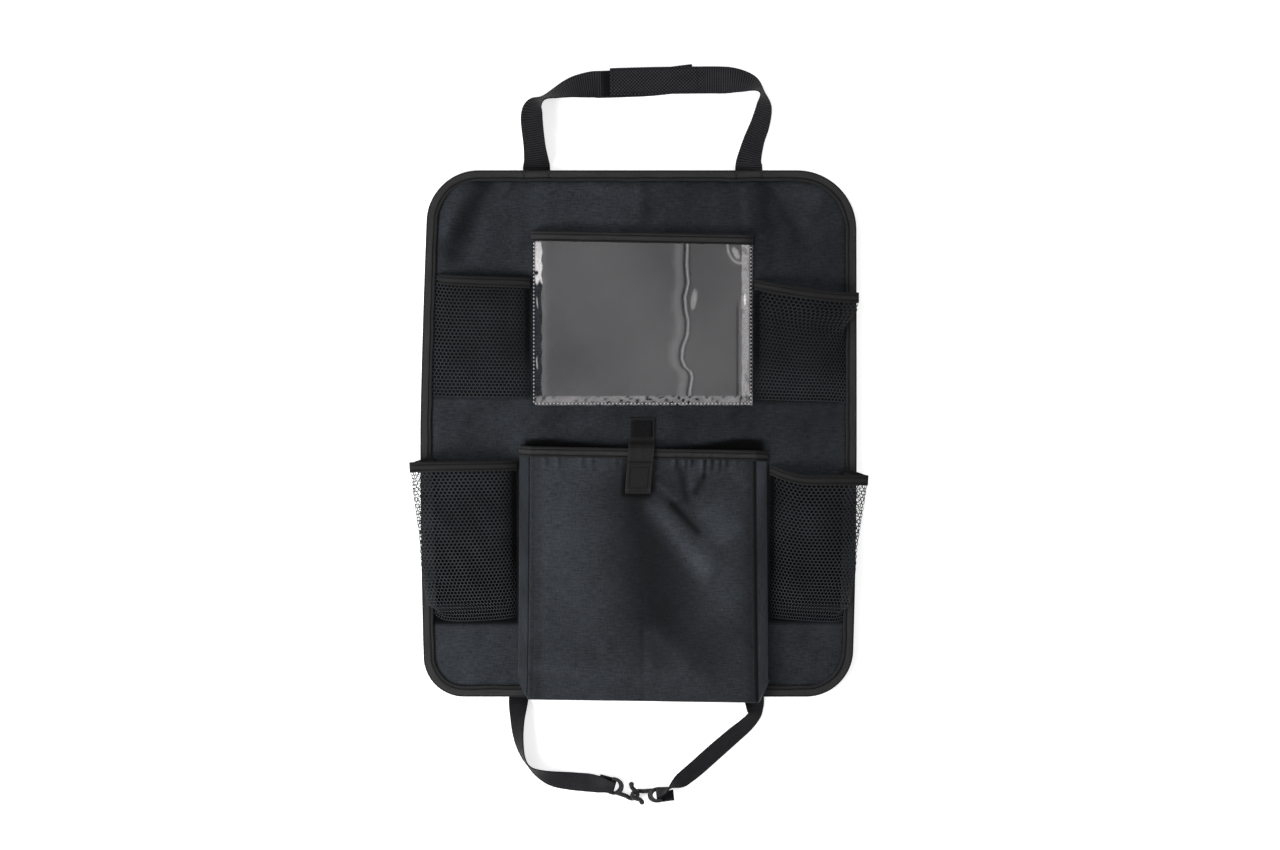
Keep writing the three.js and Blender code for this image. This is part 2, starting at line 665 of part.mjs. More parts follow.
// The strap's end: up to the hook's bar, round it and back as a sewn tail
function barLoop(place, turn) {
  const barMiddle = -HOOK.eyeLength / 2 + HOOK.barWidth / 2;
  const bar = place.eye.clone().addScaledVector(place.a, barMiddle);
  const across = place.b.clone().multiplyScalar(turn);
  const barCorner = Math.hypot(HOOK.barWidth, HOOK.thickness) / 2;
  const radius = barCorner + GAP + WEBBING.thickness / 2;
  const width = 2 * (HOOK.slotHalfHeight - 3 * GAP);
  const up = place.n.z > 0 ? place.n : place.n.clone().negate();
  const frames = [];
  const steps = 6;
  for (let k = 0; k <= steps; k++) {
    const angle = Math.PI / 2 - (k / steps) * Math.PI;
    const centre = bar.clone()
      .addScaledVector(place.a, radius * Math.cos(angle))
      .addScaledVector(up, radius * Math.sin(angle));
    const along = place.a.clone().multiplyScalar(Math.sin(angle))
      .addScaledVector(up, -Math.cos(angle));
    frames.push({ centre, across, along, width });
  }
  const end = frames[steps];
  const centre = end.centre.clone().addScaledVector(place.a, -SEAT.tailLength)
    .addScaledVector(up, 0.8);
  frames.push({ centre, across, along: end.along, width: width + 1.5 });
  return frames;
}

function seatStrap(stations, place, turn) {
  const frames = strapFrames(stations, -PANEL.height / 2, SEAT.width, turn);
  const loop = barLoop(place, turn);
  const lead = frames[frames.length - 1];
  const steps = 5;
  const start = loop[0];
  const reach = lead.centre.distanceTo(start.centre);
  const curve = new THREE.CubicBezierCurve3(
    lead.centre,
    lead.centre.clone().addScaledVector(lead.along, reach * 0.35),
    start.centre.clone().addScaledVector(start.along, -reach * 0.35),
    start.centre,
  );
  const between = [];
  for (let k = 1; k < steps; k++) {
    const t = k / steps;
    between.push({
      centre: curve.getPoint(t),
      across: lead.across.clone().lerp(start.across, t).normalize(),
      along: curve.getTangent(t),
      width: lerp(lead.width, start.width, ease(0.4, 1, t)),
    });
  }
  return ribbonSolid([...frames, ...between, ...loop], WEBBING.thickness);
}

// A fastener tape along a strap's last frames, standing off by a distance on its upper face
function stripOn(frames, count, width, offset) {
  const strip = frames.slice(-count).map(({ centre, across, along }) => {
    const normal = along.clone().cross(across).normalize();
    if (normal.z < 0) normal.negate();
    return { centre: centre.clone().addScaledVector(normal, offset), across, along, width };
  });
  return ribbonSolid(strip, FASTENER.thickness);
}

// Closure strap: its base is sewn to the panel, its end fastens on the pocket's front
function closureFrames() {
  const half = WEBBING.thickness / 2;
  const seat = LAYERS.panelTop + GAP + half;
  const stack = 2 * (FASTENER.thickness + GAP) + GAP + half;
  const mouth = pocketSurface(0.5, 1);
  const crest = mouth.z + CLOTH.thickness / 2 + GAP + TAPE.thickness + GAP + half + 0.6;
  const tapeEnd = mouth.y - TAPE.mouthLeg;
  const path = [
    [CLOSURE.baseTop, seat], [CLOSURE.baseTop - 10, seat], [CLOSURE.baseEnd, seat],
    [CLOSURE.baseEnd - 4, seat + 1.2], [mouth.y + 4.5, (seat + crest) / 2 + 1],
    [mouth.y, crest], [tapeEnd, Math.max(crest, frontHeight(tapeEnd) + stack)],
    [CLOSURE.end + CLOSURE.fastenerLength + 6, 0], [CLOSURE.end + 8, 0], [CLOSURE.end, 0],
  ].map(([y, z]) => [y, z || frontHeight(y) + stack]);
  const curve = new THREE.CatmullRomCurve3(
    path.map(([y, z]) => new THREE.Vector3(0, y, z)), false, "catmullrom", 0.5,
  );
  const count = 27;
  const frames = [];
  for (let k = 0; k <= count; k++) {
    const centre = curve.getPoint(k / count);
    const t = (CLOSURE.baseTop - centre.y) / (CLOSURE.baseTop - CLOSURE.end);
    centre.x = lerp(CLOSURE.baseX, CLOSURE.endX, ease(0.3, 1, t));
    const along = curve.getTangent(k / count);
    frames.push({ centre, across: new THREE.Vector3(1, 0, 0), along, width: CLOSURE.width });
  }
  return frames;
}

function frontPatch(offset) {
  const width = CLOSURE.width - 2 * CLOSURE.patchInset;
  const [top, bottom] = [CLOSURE.end + CLOSURE.fastenerLength + 2, CLOSURE.end + 2];
  const surface = (u, v) => {
    const y = lerp(bottom, top, v);
    return new THREE.Vector3(CLOSURE.endX + (u - 0.5) * width, y, frontHeight(y) + offset);
  };
  return sheetSolid(surface, 2, 4, FASTENER.thickness);
}

function addClosure() {
  const half = FASTENER.thickness / 2;
  addPiece("closure_strap", ribbonSolid(closureFrames(), WEBBING.thickness), COLOURS.webbing);
  addPiece("closure_loop_patch", frontPatch(GAP + half), COLOURS.fastener);
  addPiece(
    "closure_hook_patch", frontPatch(2 * GAP + FASTENER.thickness + half), COLOURS.fastener,
  );
  const seat = LAYERS.panelTop + GAP + WEBBING.thickness + GAP + half;
  const width = CLOSURE.width - 2 * CLOSURE.patchInset;
  const surface = (u, v) => new THREE.Vector3(
    CLOSURE.baseX + (u - 0.5) * width,
    CLOSURE.baseTop - CLOSURE.patchInset - (1 - v) * (CLOSURE.basePatchLength - CLOSURE.patchInset),
    seat,
  );
  addPiece("closure_base_patch", sheetSolid(surface, 2, 2, FASTENER.thickness), COLOURS.fastener);
}

function addHeadrestStraps() {
  const left = strapFrames(HEADREST.left, PANEL.height / 2, HEADREST.width, -1);
  const right = strapFrames(HEADREST.right, PANEL.height / 2, HEADREST.width, 1);
  addPiece("headrest_strap_left", ribbonSolid(left, WEBBING.thickness), COLOURS.webbing);
  addPiece("headrest_strap_right", ribbonSolid(right, WEBBING.thickness), COLOURS.webbing);
  const offset = WEBBING.thickness / 2 + GAP + FASTENER.thickness / 2;
  const hook = stripOn(left, HEADREST.hookTapeFrames, HEADREST.fastenerWidth, offset);
  const loop = stripOn(right, HEADREST.loopTapeFrames, HEADREST.fastenerWidth, -offset);
  addPiece("headrest_hook_tape", hook, COLOURS.fastener);
  addPiece("headrest_loop_tape", loop, COLOURS.fastener);
}

function addSeatStraps() {
  const { left, right } = hookPlaces();
  addPiece("seat_strap_left", seatStrap(SEAT.left, left, 1), COLOURS.webbing);
  addPiece("seat_strap_right", seatStrap(SEAT.right, right, -1), COLOURS.webbing);
  placeHook("strap_hook_left", left);
  placeHook("strap_hook_right", right);
}

addPiece("back_panel", panelSolid(), COLOURS.cloth);
addPiece("edge_binding", edgeBinding(), COLOURS.binding);
addHeadrestStraps();
addPiece(
  "window_film", sheetSolid(windowSurface, WINDOW_COLUMNS, 10, FILM.thickness), COLOURS.film, 0.2,
);
addPiece(
  "window_binding",
  mouthTape(windowSurface, WINDOW_COLUMNS, 0, WINDOW_COLUMNS, FILM.thickness),
  COLOURS.binding,
);
addNetPocket("upper_left", UPPER_LEFT);
addNetPocket("upper_right", UPPER_RIGHT);
addNetPocket("lower_left", LOWER_LEFT);
addNetPocket("lower_right", LOWER_RIGHT);
addPiece(
  "main_pocket",
  sheetSolid(pocketSurface, POCKET_COLUMNS, POCKET_ROWS, CLOTH.thickness),
  COLOURS.cloth,
);
addPiece(
  "main_pocket_binding",
  mouthTape(pocketSurface, POCKET_COLUMNS, 0, POCKET_COLUMNS, CLOTH.thickness),
  COLOURS.binding,
);
addClosure();
addSeatStraps();

export default organizer;
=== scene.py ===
"""Looks for a car seat back organizer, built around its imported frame."""

import math

import bpy
import numpy as np
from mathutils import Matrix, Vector


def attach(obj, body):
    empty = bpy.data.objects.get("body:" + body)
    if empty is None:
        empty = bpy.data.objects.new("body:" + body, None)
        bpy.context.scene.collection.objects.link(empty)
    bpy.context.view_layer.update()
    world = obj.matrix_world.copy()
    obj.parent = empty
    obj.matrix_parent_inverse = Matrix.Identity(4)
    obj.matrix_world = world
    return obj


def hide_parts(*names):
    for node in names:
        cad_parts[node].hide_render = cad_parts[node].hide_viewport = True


bl_info = {
    "name": "Seat Back Organizer",
    "version": (1, 0, 0),
    "blender": (4, 5, 0),
    "location": "View3D > Sidebar > Organizer",
    "description": "Cloth, nets, film, webbing and stitching of a seat back organizer",
    "category": "Object",
}

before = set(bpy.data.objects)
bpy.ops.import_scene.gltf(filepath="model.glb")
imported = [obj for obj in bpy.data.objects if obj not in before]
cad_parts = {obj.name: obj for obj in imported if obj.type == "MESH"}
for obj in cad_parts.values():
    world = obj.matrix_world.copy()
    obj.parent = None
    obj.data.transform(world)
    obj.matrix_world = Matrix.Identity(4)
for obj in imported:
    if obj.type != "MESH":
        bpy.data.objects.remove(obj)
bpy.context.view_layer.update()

MM = 0.001
BODY = "root"

# Sizes in millimetres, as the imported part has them
GAP = 0.3
PANEL_WIDTH = 478.0
PANEL_HEIGHT = 577.0
# Each corner's radius, how much the side comes in by it, and how late
TOP_LEFT = (54.0, 9.0, 1.3)
TOP_RIGHT = (64.0, 0.5, 2.0)
BOTTOM_LEFT = (42.0, 5.0, 2.0)
BOTTOM_RIGHT = (49.0, 5.5, 2.0)
PANEL_THICKNESS = 2.4
TAPE_THICKNESS = 0.6
EDGE_TAPE_THICKNESS = 0.8
EDGE_LEG = 11.0
MOUTH_LEG = 10.5
NET_SHEET = 0.8
NET_THREAD_HEIGHT = 0.5
NET_MARGIN = 1.2
CLOTH = 0.8
FILM = 0.6
FILM_SHEET = 0.3  # as thin as the film looks
WEBBING = 1.4
FASTENER = 1.2
TOP = PANEL_HEIGHT / 2

BINDING_BOTTOM = WEBBING + GAP
PANEL_BOTTOM = BINDING_BOTTOM + EDGE_TAPE_THICKNESS + GAP
PANEL_TOP = PANEL_BOTTOM + PANEL_THICKNESS
LEG_BOTTOM = PANEL_TOP + GAP + NET_SHEET + GAP
LEG_TOP = LEG_BOTTOM + EDGE_TAPE_THICKNESS

WINDOW = {"left": -117.0, "right": 125.5, "bottom": 31.0, "top_left": 222.0, "top_right": 217.5,
          "crown": 7.0}
POCKET = {"foot_left": -130.5, "foot_right": 141.0, "foot_spread": 4.0, "lean": 12.5,
          "ridge_spread": 6.0, "mouth_left": -14.0, "mouth_right": -20.5, "seam_inset": 16.0,
          "overhang_left": 2.0, "overhang_right": 7.0, "depth": 17.0, "mouth_depth": 11.0}
# The nets. mouth and bottom are heights at the inner seam and at the edge; dip is how much
# higher the mouth starts, coming down by dip_end of the width; overhang is how far the net
# reaches past the panel, and weft how much wider its threads get towards the mouth.
NETS = {
    "upper_left": dict(side=-1, inner=-119.5, mouth=(170, 176), dip=0, dip_end=1,
                       bottom=(38, 40), sag=0, bulge=9, overhang=0, weft=0.5),
    "upper_right": dict(side=1, inner=128, mouth=(155, 152.5), dip=13.5, dip_end=0.36,
                        bottom=(36, 32), sag=0, bulge=15, overhang=0.5, weft=0.2),
    "lower_left": dict(side=-1, inner=-134.4, mouth=(-30, -35), dip=0, dip_end=1,
                       bottom=(-203, -196), sag=8, bulge=21, overhang=10.5, weft=0.6),
    "lower_right": dict(side=1, inner=144.9, mouth=(-46, -47), dip=11, dip_end=0.22,
                        bottom=(-203, -206), sag=4, bulge=20, overhang=11.5, weft=0.4),
}
NET_TUCK_START = 0.55
NET_BULGE = [0, 0.42, 0.78, 0.97, 1, 0.93, 0.8, 0.62, 0.42, 0.22, 0.08]
NET_REACH = [0, 0.08, 0.22, 0.4, 0.56, 0.7, 0.8, 0.88, 0.93, 0.97, 1]
CLOSURE = {"width": 28.5, "base_x": 3.5, "end_x": -0.5, "base_top": 17.0, "base_end": -4.0,
           "end": -66.0, "inset": 3.0, "base_patch": 21.0, "fastener": 26.0}
# Stations along the straps: x, y from the panel's edge, tilt in degrees and height
HEADREST_WIDTH = 30.0
HEADREST_TAPE = 27.0
HEADREST_LEFT = [
    [-112.2, -28.5, 0, 0], [-112.2, -13.5, 0, 0], [-112.2, 2.5, 0, 0], [-112.6, 12.5, 24, 0],
    [-114.4, 28.5, 36, 0], [-117.4, 58.5, 36, 0], [-114.6, 71.5, 46, 0], [-105, 79.5, 76, 0],
    [-90.5, 85.5, 62, 0], [-72, 92, 36, 0], [-52.5, 95.4, 12, 0], [-40, 95.9, 0, 0],
    [-10, 96.9, 0, 0], [18.5, 98.5, 0, 0], [60.5, 103.5, 0, 0],
]
HEADREST_RIGHT = [
    [121.4, -28.5, 0, 0], [121.4, -13.5, 0, 0], [121.4, 2.5, 0, 0], [121.8, 13.5, 26, 0],
    [127, 33.5, 40, 0], [134, 52.5, 46, 0], [138, 71.5, 56, 0], [135.8, 86, 77, 0],
    [125, 95.5, 50, 0], [108.5, 99.5, 24, 1], [90, 100.3, 0, 4.2], [70, 100.2, 0, 6],
    [40, 99.9, 0, 6], [12.7, 99.5, 0, 6], [-31.4, 98.3, 0, 6],
]
SEAT_WIDTH = 21.5
SEAT_LEFT = [
    [-132, 29.5, 0, 0], [-132, 13.5, 0, 0], [-132, -2, 0, 0], [-132.5, -11.5, 20, 0],
    [-133, -23.5, 40, 0], [-132.6, -39.5, 54, 0], [-130.4, -54.5, 66, 0], [-126.4, -67.5, 78, 0],
    [-120.4, -77, 82, 0], [-110.5, -84.5, 64, 0], [-94.5, -90.9, 36, 0],
    [-76, -93.7, 20, 0], [-56, -95.5, 14, 1],
]
SEAT_RIGHT = [
    [127.5, 29.5, 0, 0], [127.5, 13.5, 0, 0], [127.5, -2, 0, 0], [128, -12.5, 26, 0],
    [127, -21.5, 46, 0], [118, -32, 40, 0], [104.5, -43.5, 33, 0], [83, -62.3, 29, 0],
    [62.5, -80.5, 30, 0], [47.5, -92.5, 36, 1],
]
SEAT_TAIL = 15.0
HOOK = {"thickness": 4.2, "eye_length": 15.0, "bar": 2.8, "slot_half": 9.4, "ring": 6.8,
        "wire": 2.5, "along": 17.5, "aside": -4.5, "left_eye": (-23.7, -99.6, 11.0),
        "left_heading": -15.0, "left_tilt": 38.0, "right_heading": 187.0,
        "right_tilt": 122.0, "link_heading": -6.0, "link_rise": 1.2, "play": 0.9}

# Photograph's frame: the camera looks straight down on its middle
VIEW_WIDTH = 1.408
VIEW_HEIGHT = 4.0
VIEW_CENTRE = (0.00165, 0.00935)
VIEW_PLANE = 0.005  # height at which the view is that wide

# Light levels, where 1 shows a white surface as white
AMBIENT = 0.30
GLOSS_OVERHEAD = 1.0
GLOSS_SIDE = 0.30
FLOOR_GLOW = 0.62
FLOOR_HEIGHT = -0.0004

# Lamps, all aimed at the organizer's middle: place, size and watts
LAMPS = {
    "key_light": ((-1.1, -0.6, 0.9), (0.7, 0.7), 24),
    "back_light": ((-1.1, 1.3, 1.1), (0.7, 0.7), 11),
    "fill_light": ((1.6, 0.3, 1.2), (0.8, 1.2), 10),
}


# Numbers and curves

def lerp(a, b, t):
    return a + (b - a) * t


def ease(low, high, t):
    x = np.clip((np.asarray(t, float) - low) / (high - low), 0, 1)
    return x * x * (3 - 2 * x)


def bell(x, middle, width):
    return np.exp(-(((np.asarray(x, float) - middle) / width) ** 2))


def unit(v):
    return v / np.maximum(np.linalg.norm(v, axis=-1, keepdims=True), 1e-12)


def catmull(points, t):
    """Points at t, from 0 to 1, on a smooth curve through points[..., k, :]."""
    points = np.asarray(points, float)
    t = np.asarray(t, float)
    count = points.shape[-2]
    before = 2 * points[..., :1, :] - points[..., 1:2, :]
    after = 2 * points[..., -1:, :] - points[..., -2:-1, :]
    full = np.concatenate([before, points, after], axis=-2)
    place = np.clip(t, 0, 1) * (count - 1)
    at = np.minimum(place.astype(int), count - 2)
    w = (place - at)[..., None]

    def take(k):
        if points.ndim == 2:
            return full[at + k]
        return np.take_along_axis(full, (at + k)[..., None, None], axis=-2)[..., 0, :]

    p0, p1, p2, p3 = (take(k) for k in range(4))
    t0, t1 = 0.5 * (p2 - p0), 0.5 * (p3 - p1)
    return (p1 + t0 * w + (-3 * p1 + 3 * p2 - 2 * t0 - t1) * w**2
            + (2 * p1 - 2 * p2 + t0 + t1) * w**3)


def ripple(x, y, length, seed):
    """Smooth irregular waves of about that length, mostly between -1 and 1."""
    waves = 7
    random = np.random.default_rng(seed)
    total = 0
    for _ in range(waves):
        angle = random.uniform(0, math.pi)
        stretch = length * random.uniform(0.7, 1.5)
        phase = random.uniform(0, 2 * math.pi)
        total = total + np.sin(
            2 * math.pi * (x * math.cos(angle) + y * math.sin(angle)) / stretch + phase)
    return total / (0.55 * waves)


def line_place(x, y, start, end):
    """How far along and how far aside of a line a place lies, and the line's length."""
    (ax, ay), (bx, by) = start, end
    dx, dy = bx - ax, by - ay
    length = math.hypot(dx, dy)
    along = ((x - ax) * dx + (y - ay) * dy) / length
    aside = ((x - ax) * dy - (y - ay) * dx) / length
    return along, aside, length


def crease(x, y, start, end, width):
    """1 on a line from start to end, fading to 0 beside it and past its ends."""
    along, aside, length = line_place(x, y, start, end)
    fade = 0.12 * length
    return bell(aside, 0, width) * ease(-fade, fade, along) * ease(-fade, fade, length - along)


def creases(x, y, table):
    """All of a table's creases: start, end, half width and amount of each."""
    return sum(amount * crease(x, y, start, end, width) for start, end, width, amount in table)


def fold_step(x, y, start, end, width):
    """0 left of the line from start to end and 1 right of it, over that width."""
    return ease(-width, width, line_place(x, y, start, end)[1])


def arc_lengths(points, axis=0):
    """Distance from the first point, along an axis of a grid of points."""
    points = np.moveaxis(points, axis, 0)
    steps = np.linalg.norm(np.diff(points, axis=0), axis=-1)
    total = np.concatenate([np.zeros((1,) + steps.shape[1:]), np.cumsum(steps, axis=0)])
    return np.moveaxis(total, 0, axis)


def read_along(values, far, where):
    """Values given at the distances far, read at other distances."""
    return np.stack([np.interp(where, far, values[:, k]) for k in range(3)], -1)


# Meshes

def make_piece(name, points, faces, finish, lay, replaces=(), tone=None):
    """A mesh piece that rides on the organizer. Points and lay are in millimetres, and tone is how
    much lighter or darker than usual the finish is at each point, mostly painted light and shade."""
    mesh = bpy.data.meshes.new(name)
    mesh.from_pydata((np.asarray(points, float) * MM).tolist(), [], faces)
    mesh.polygons.foreach_set("use_smooth", np.ones(len(mesh.polygons), bool))
    layer = mesh.attributes.new("lay", "FLOAT_VECTOR", "POINT")
    flat = np.zeros((len(points), 3), np.float32)
    flat[:, :2] = lay
    layer.data.foreach_set("vector", flat.ravel())
    if tone is not None:
        layer = mesh.attributes.new("tone", "FLOAT", "POINT")
        layer.data.foreach_set("value", np.asarray(tone, np.float32))
    mesh.materials.append(finish)
    mesh.update()
    piece = bpy.data.objects.new(name, mesh)
    bpy.context.scene.collection.objects.link(piece)
    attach(piece, BODY)
    if replaces:
        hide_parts(*replaces)
    return piece


def grid_normals(grid):
    return unit(np.cross(np.gradient(grid, axis=0), np.gradient(grid, axis=1)))


def grid_lay(grid):
    """Cloth coordinates of a grid: distances along its columns and rows."""
    across = arc_lengths(grid, 0)
    along = arc_lengths(grid, 1)
    middle = across[across.shape[0] // 2]
    return np.stack([across - middle[None], along], -1)


def shell(grid, thickness):
    """A closed sheet of that thickness about a grid of points [column, row]."""
    columns, rows = grid.shape[:2]
    normals = grid_normals(grid)
    half = thickness / 2
    points = np.concatenate([
        (grid + normals * half).reshape(-1, 3), (grid - normals * half).reshape(-1, 3)])
    index = np.arange(columns * rows).reshape(columns, rows)
    below = columns * rows
    a, b = index[:-1, :-1].ravel(), index[1:, :-1].ravel()
    c, d = index[1:, 1:].ravel(), index[:-1, 1:].ravel()
    faces = np.concatenate([
        np.stack([a, b, c, d], 1), below + np.stack([a, d, c, b], 1),
        rim(index[:, 0], below), rim(index[-1, :], below),
        rim(index[::-1, -1], below), rim(index[0, ::-1], below)])
    return points, faces.tolist(), np.concatenate([grid_lay(grid).reshape(-1, 2)] * 2)


def rim(line, below):
    """Side faces under a line of top points that has the sheet on its left."""
    a, b = line[:-1], line[1:]
    return np.stack([b, a, a + below, b + below], 1)


def loft(rings, closed=False, caps="fan"):
    """Faces through rings of equally many points. Each ring runs anticlockwise
    when seen from the last one. Tape sections are capped in quads."""
    count, size = rings.shape[:2]
    index = np.arange(count * size).reshape(count, size)
    here = index if closed else index[:-1]
    there = np.roll(index, -1, axis=0) if closed else index[1:]
    faces = np.stack([here, np.roll(here, -1, 1), np.roll(there, -1, 1), there], -1)
    faces = faces.reshape(-1, 4).tolist()
    if not closed and caps == "fan":
        faces += [index[0][::-1].tolist(), index[-1].tolist()]
    elif not closed:
        half = size // 2
        for k in range(half - 1):
            a, b, c, d = k, k + 1, size - 2 - k, size - 1 - k
            faces.append([int(index[0][q]) for q in (d, c, b, a)])
            faces.append([int(index[-1][q]) for q in (a, b, c, d)])
    return rings.reshape(-1, 3), faces


def ring_lay(rings):
    """Cloth coordinates on lofted rings: distance round each ring and along them."""
    across = arc_lengths(rings, 1)
    across = across - across[:, -1:] / 4
    centre = rings.mean(1)
    along = np.repeat(arc_lengths(centre)[:, None], rings.shape[1], 1)
    return np.stack([across, along], -1).reshape(-1, 2)


def tape_ring(outer, thickness):
    """A closed section of a tape from the polyline of its outer face."""
    along = np.gradient(outer, axis=0)
    inward = unit(np.stack([along[:, 1], -along[:, 0]], 1))
    return np.concatenate([outer, (outer + inward * thickness)[::-1]])


def tape_tone(section, stitches, strip=-0.3, plain=1.0, dim=0.0):
    """Painted shade in the grooves under the stitches and on the fold, and a darker strip along the
    inner edge, on a folded tape's section."""
    reach = section[:, 0]
    tone = -0.55 * ease(-1.5, 0.2, reach)
    for s in stitches:
        tone = tone - 0.8 * bell(reach, s, 0.75)
    inner = min(stitches)
    tone = tone + strip * (1 - ease(inner - 0.9, inner - 0.3, reach))
    return np.clip(plain * tone + dim, -0.95, 1)


def folded_outline(leg, half, fold, stitches, press, steps):
    """Outer face of a tape folded over an edge: [along, across], from the front leg's
    end round the fold to the back leg's end."""
    t = np.linspace(-leg, 0, steps)
    t = np.unique(np.concatenate([t] + [[s - 0.7, s, s + 0.7] for s in stitches]))
    front = np.full_like(t, half)
    for s in stitches:
        front -= press * bell(t, s, 0.55)
    front[0] -= 0.15
    turn = np.radians(np.linspace(78, -78, 7))
    arc = np.stack([fold * np.cos(turn), half * np.sin(turn)], 1)
    legs = np.stack([t, front], 1)
    back = np.stack([t[::-1], -front[::-1]], 1)
    return np.concatenate([legs, arc, back])


# Stitches

class Stitching:
    """Collects rows of thread stitches and makes them into one piece."""

    # A stitch's rings: place along it, size and drop, as shares of its length and radius
    RINGS = ((-0.5, 0.45, -0.3), (-0.28, 1.0, 0.0), (0.28, 1.0, 0.0), (0.5, 0.45, -0.3))
    SIDES = 6
    RISE = 0.05

    def __init__(self, sizes):
        self.length = sizes.stitch_length / MM
        self.pitch = sizes.stitch_pitch / MM
        self.radius = sizes.thread_width / MM / 2
        self.parts = []

    def row(self, points, normals, pitch=None, length=None):
        """Stitches along a line of points on a surface, with its normals."""
        points = np.asarray(points, float)
        normals = np.broadcast_to(np.asarray(normals, float), points.shape)
        pitch = pitch or self.pitch
        length = length or self.length
        far = arc_lengths(points)
        count = max(int(far[-1] / pitch), 1)
        at = (np.arange(count) + 0.5) * far[-1] / count

        middle = read_along(points, far, at)
        along = unit(read_along(points, far, np.minimum(at + 0.6, far[-1]))
                     - read_along(points, far, np.maximum(at - 0.6, 0)))
        up = read_along(normals, far, at)
        up = unit(up - along * (up * along).sum(1, keepdims=True))
        side = np.cross(along, up)
        rings = []
        for place, size, drop in self.RINGS:
            centre = middle + along * place * length + up * (self.RISE + drop * self.radius)
            ring = []
            for k in range(self.SIDES):
                angle = 2 * math.pi * k / self.SIDES
                ring.append(centre + (side * math.cos(angle) + up * math.sin(angle))
                            * size * self.radius)
            rings.append(np.stack(ring, 1))
        self.parts.append(np.stack(rings, 1))

    def build(self, name, finish, slot="binding_tape"):
        rings = np.concatenate(self.parts)
        total, levels, sides = rings.shape[:3]
        index = np.arange(total * levels * sides).reshape(total, levels, sides)
        low, high = index[:, :-1], index[:, 1:]
        quads = np.stack([low, high, np.roll(high, -1, 2), np.roll(low, -1, 2)], -1)
        faces = quads.reshape(-1, 4).tolist()
        faces += index[:, 0, :].tolist() + index[:, -1, ::-1].tolist()
        points = rings.reshape(-1, 3)
        lay = np.stack([points[:, 0] + points[:, 2], points[:, 1]], 1)
        return make_piece(name, points, faces, finish, lay)


# Shader maths

class Value:
    """A node's output that takes part in Python expressions."""

    def __init__(self, tree, socket):
        self.tree = tree
        self.socket = socket

    def maths(self, operation, *others):
        node = self.tree.nodes.new("ShaderNodeMath")
        node.operation = operation
        for k, item in enumerate((self, *others)):
            if isinstance(item, Value):
                self.tree.links.new(item.socket, node.inputs[k])
            else:
                node.inputs[k].default_value = item
        return Value(self.tree, node.outputs[0])

    def flipped(self, operation, other):
        node = self.tree.nodes.new("ShaderNodeMath")
        node.operation = operation
        node.inputs[0].default_value = other
        self.tree.links.new(self.socket, node.inputs[1])
        return Value(self.tree, node.outputs[0])

    def __add__(self, other):
        return self.maths("ADD", other)

    def __radd__(self, other):
        return self.flipped("ADD", other)

    def __sub__(self, other):
        return self.maths("SUBTRACT", other)

    def __rsub__(self, other):
        return self.flipped("SUBTRACT", other)

    def __mul__(self, other):
        return self.maths("MULTIPLY", other)

    def __rmul__(self, other):
        return self.flipped("MULTIPLY", other)

    def __pow__(self, other):
        return self.maths("POWER", other)

    def sin(self):
        return self.maths("SINE")

    def abs(self):
        return self.maths("ABSOLUTE")

    def clamp(self):
        return self.maths("MAXIMUM", 0.0).maths("MINIMUM", 1.0)


class Nodes:
    """Adds nodes to an empty node tree."""

    def __init__(self, tree):
        self.tree = tree
        tree.nodes.clear()

    def node(self, kind, settings=None, inputs=None, output=0):
        """Adds a node: its settings first, then the values or links of its sockets."""
        node = self.tree.nodes.new(kind)
        for key, value in (settings or {}).items():
            setattr(node, key, value)
        for key, value in (inputs or {}).items():
            if isinstance(value, Value):
                self.tree.links.new(value.socket, node.inputs[key])
            else:
                node.inputs[key].default_value = value
        return Value(self.tree, node.outputs[output])

    def split(self, vector):
        """A vector's x, y and z."""
        parts = self.tree.nodes.new("ShaderNodeSeparateXYZ")
        self.tree.links.new(vector.socket, parts.inputs[0])
        return [Value(self.tree, output) for output in parts.outputs]


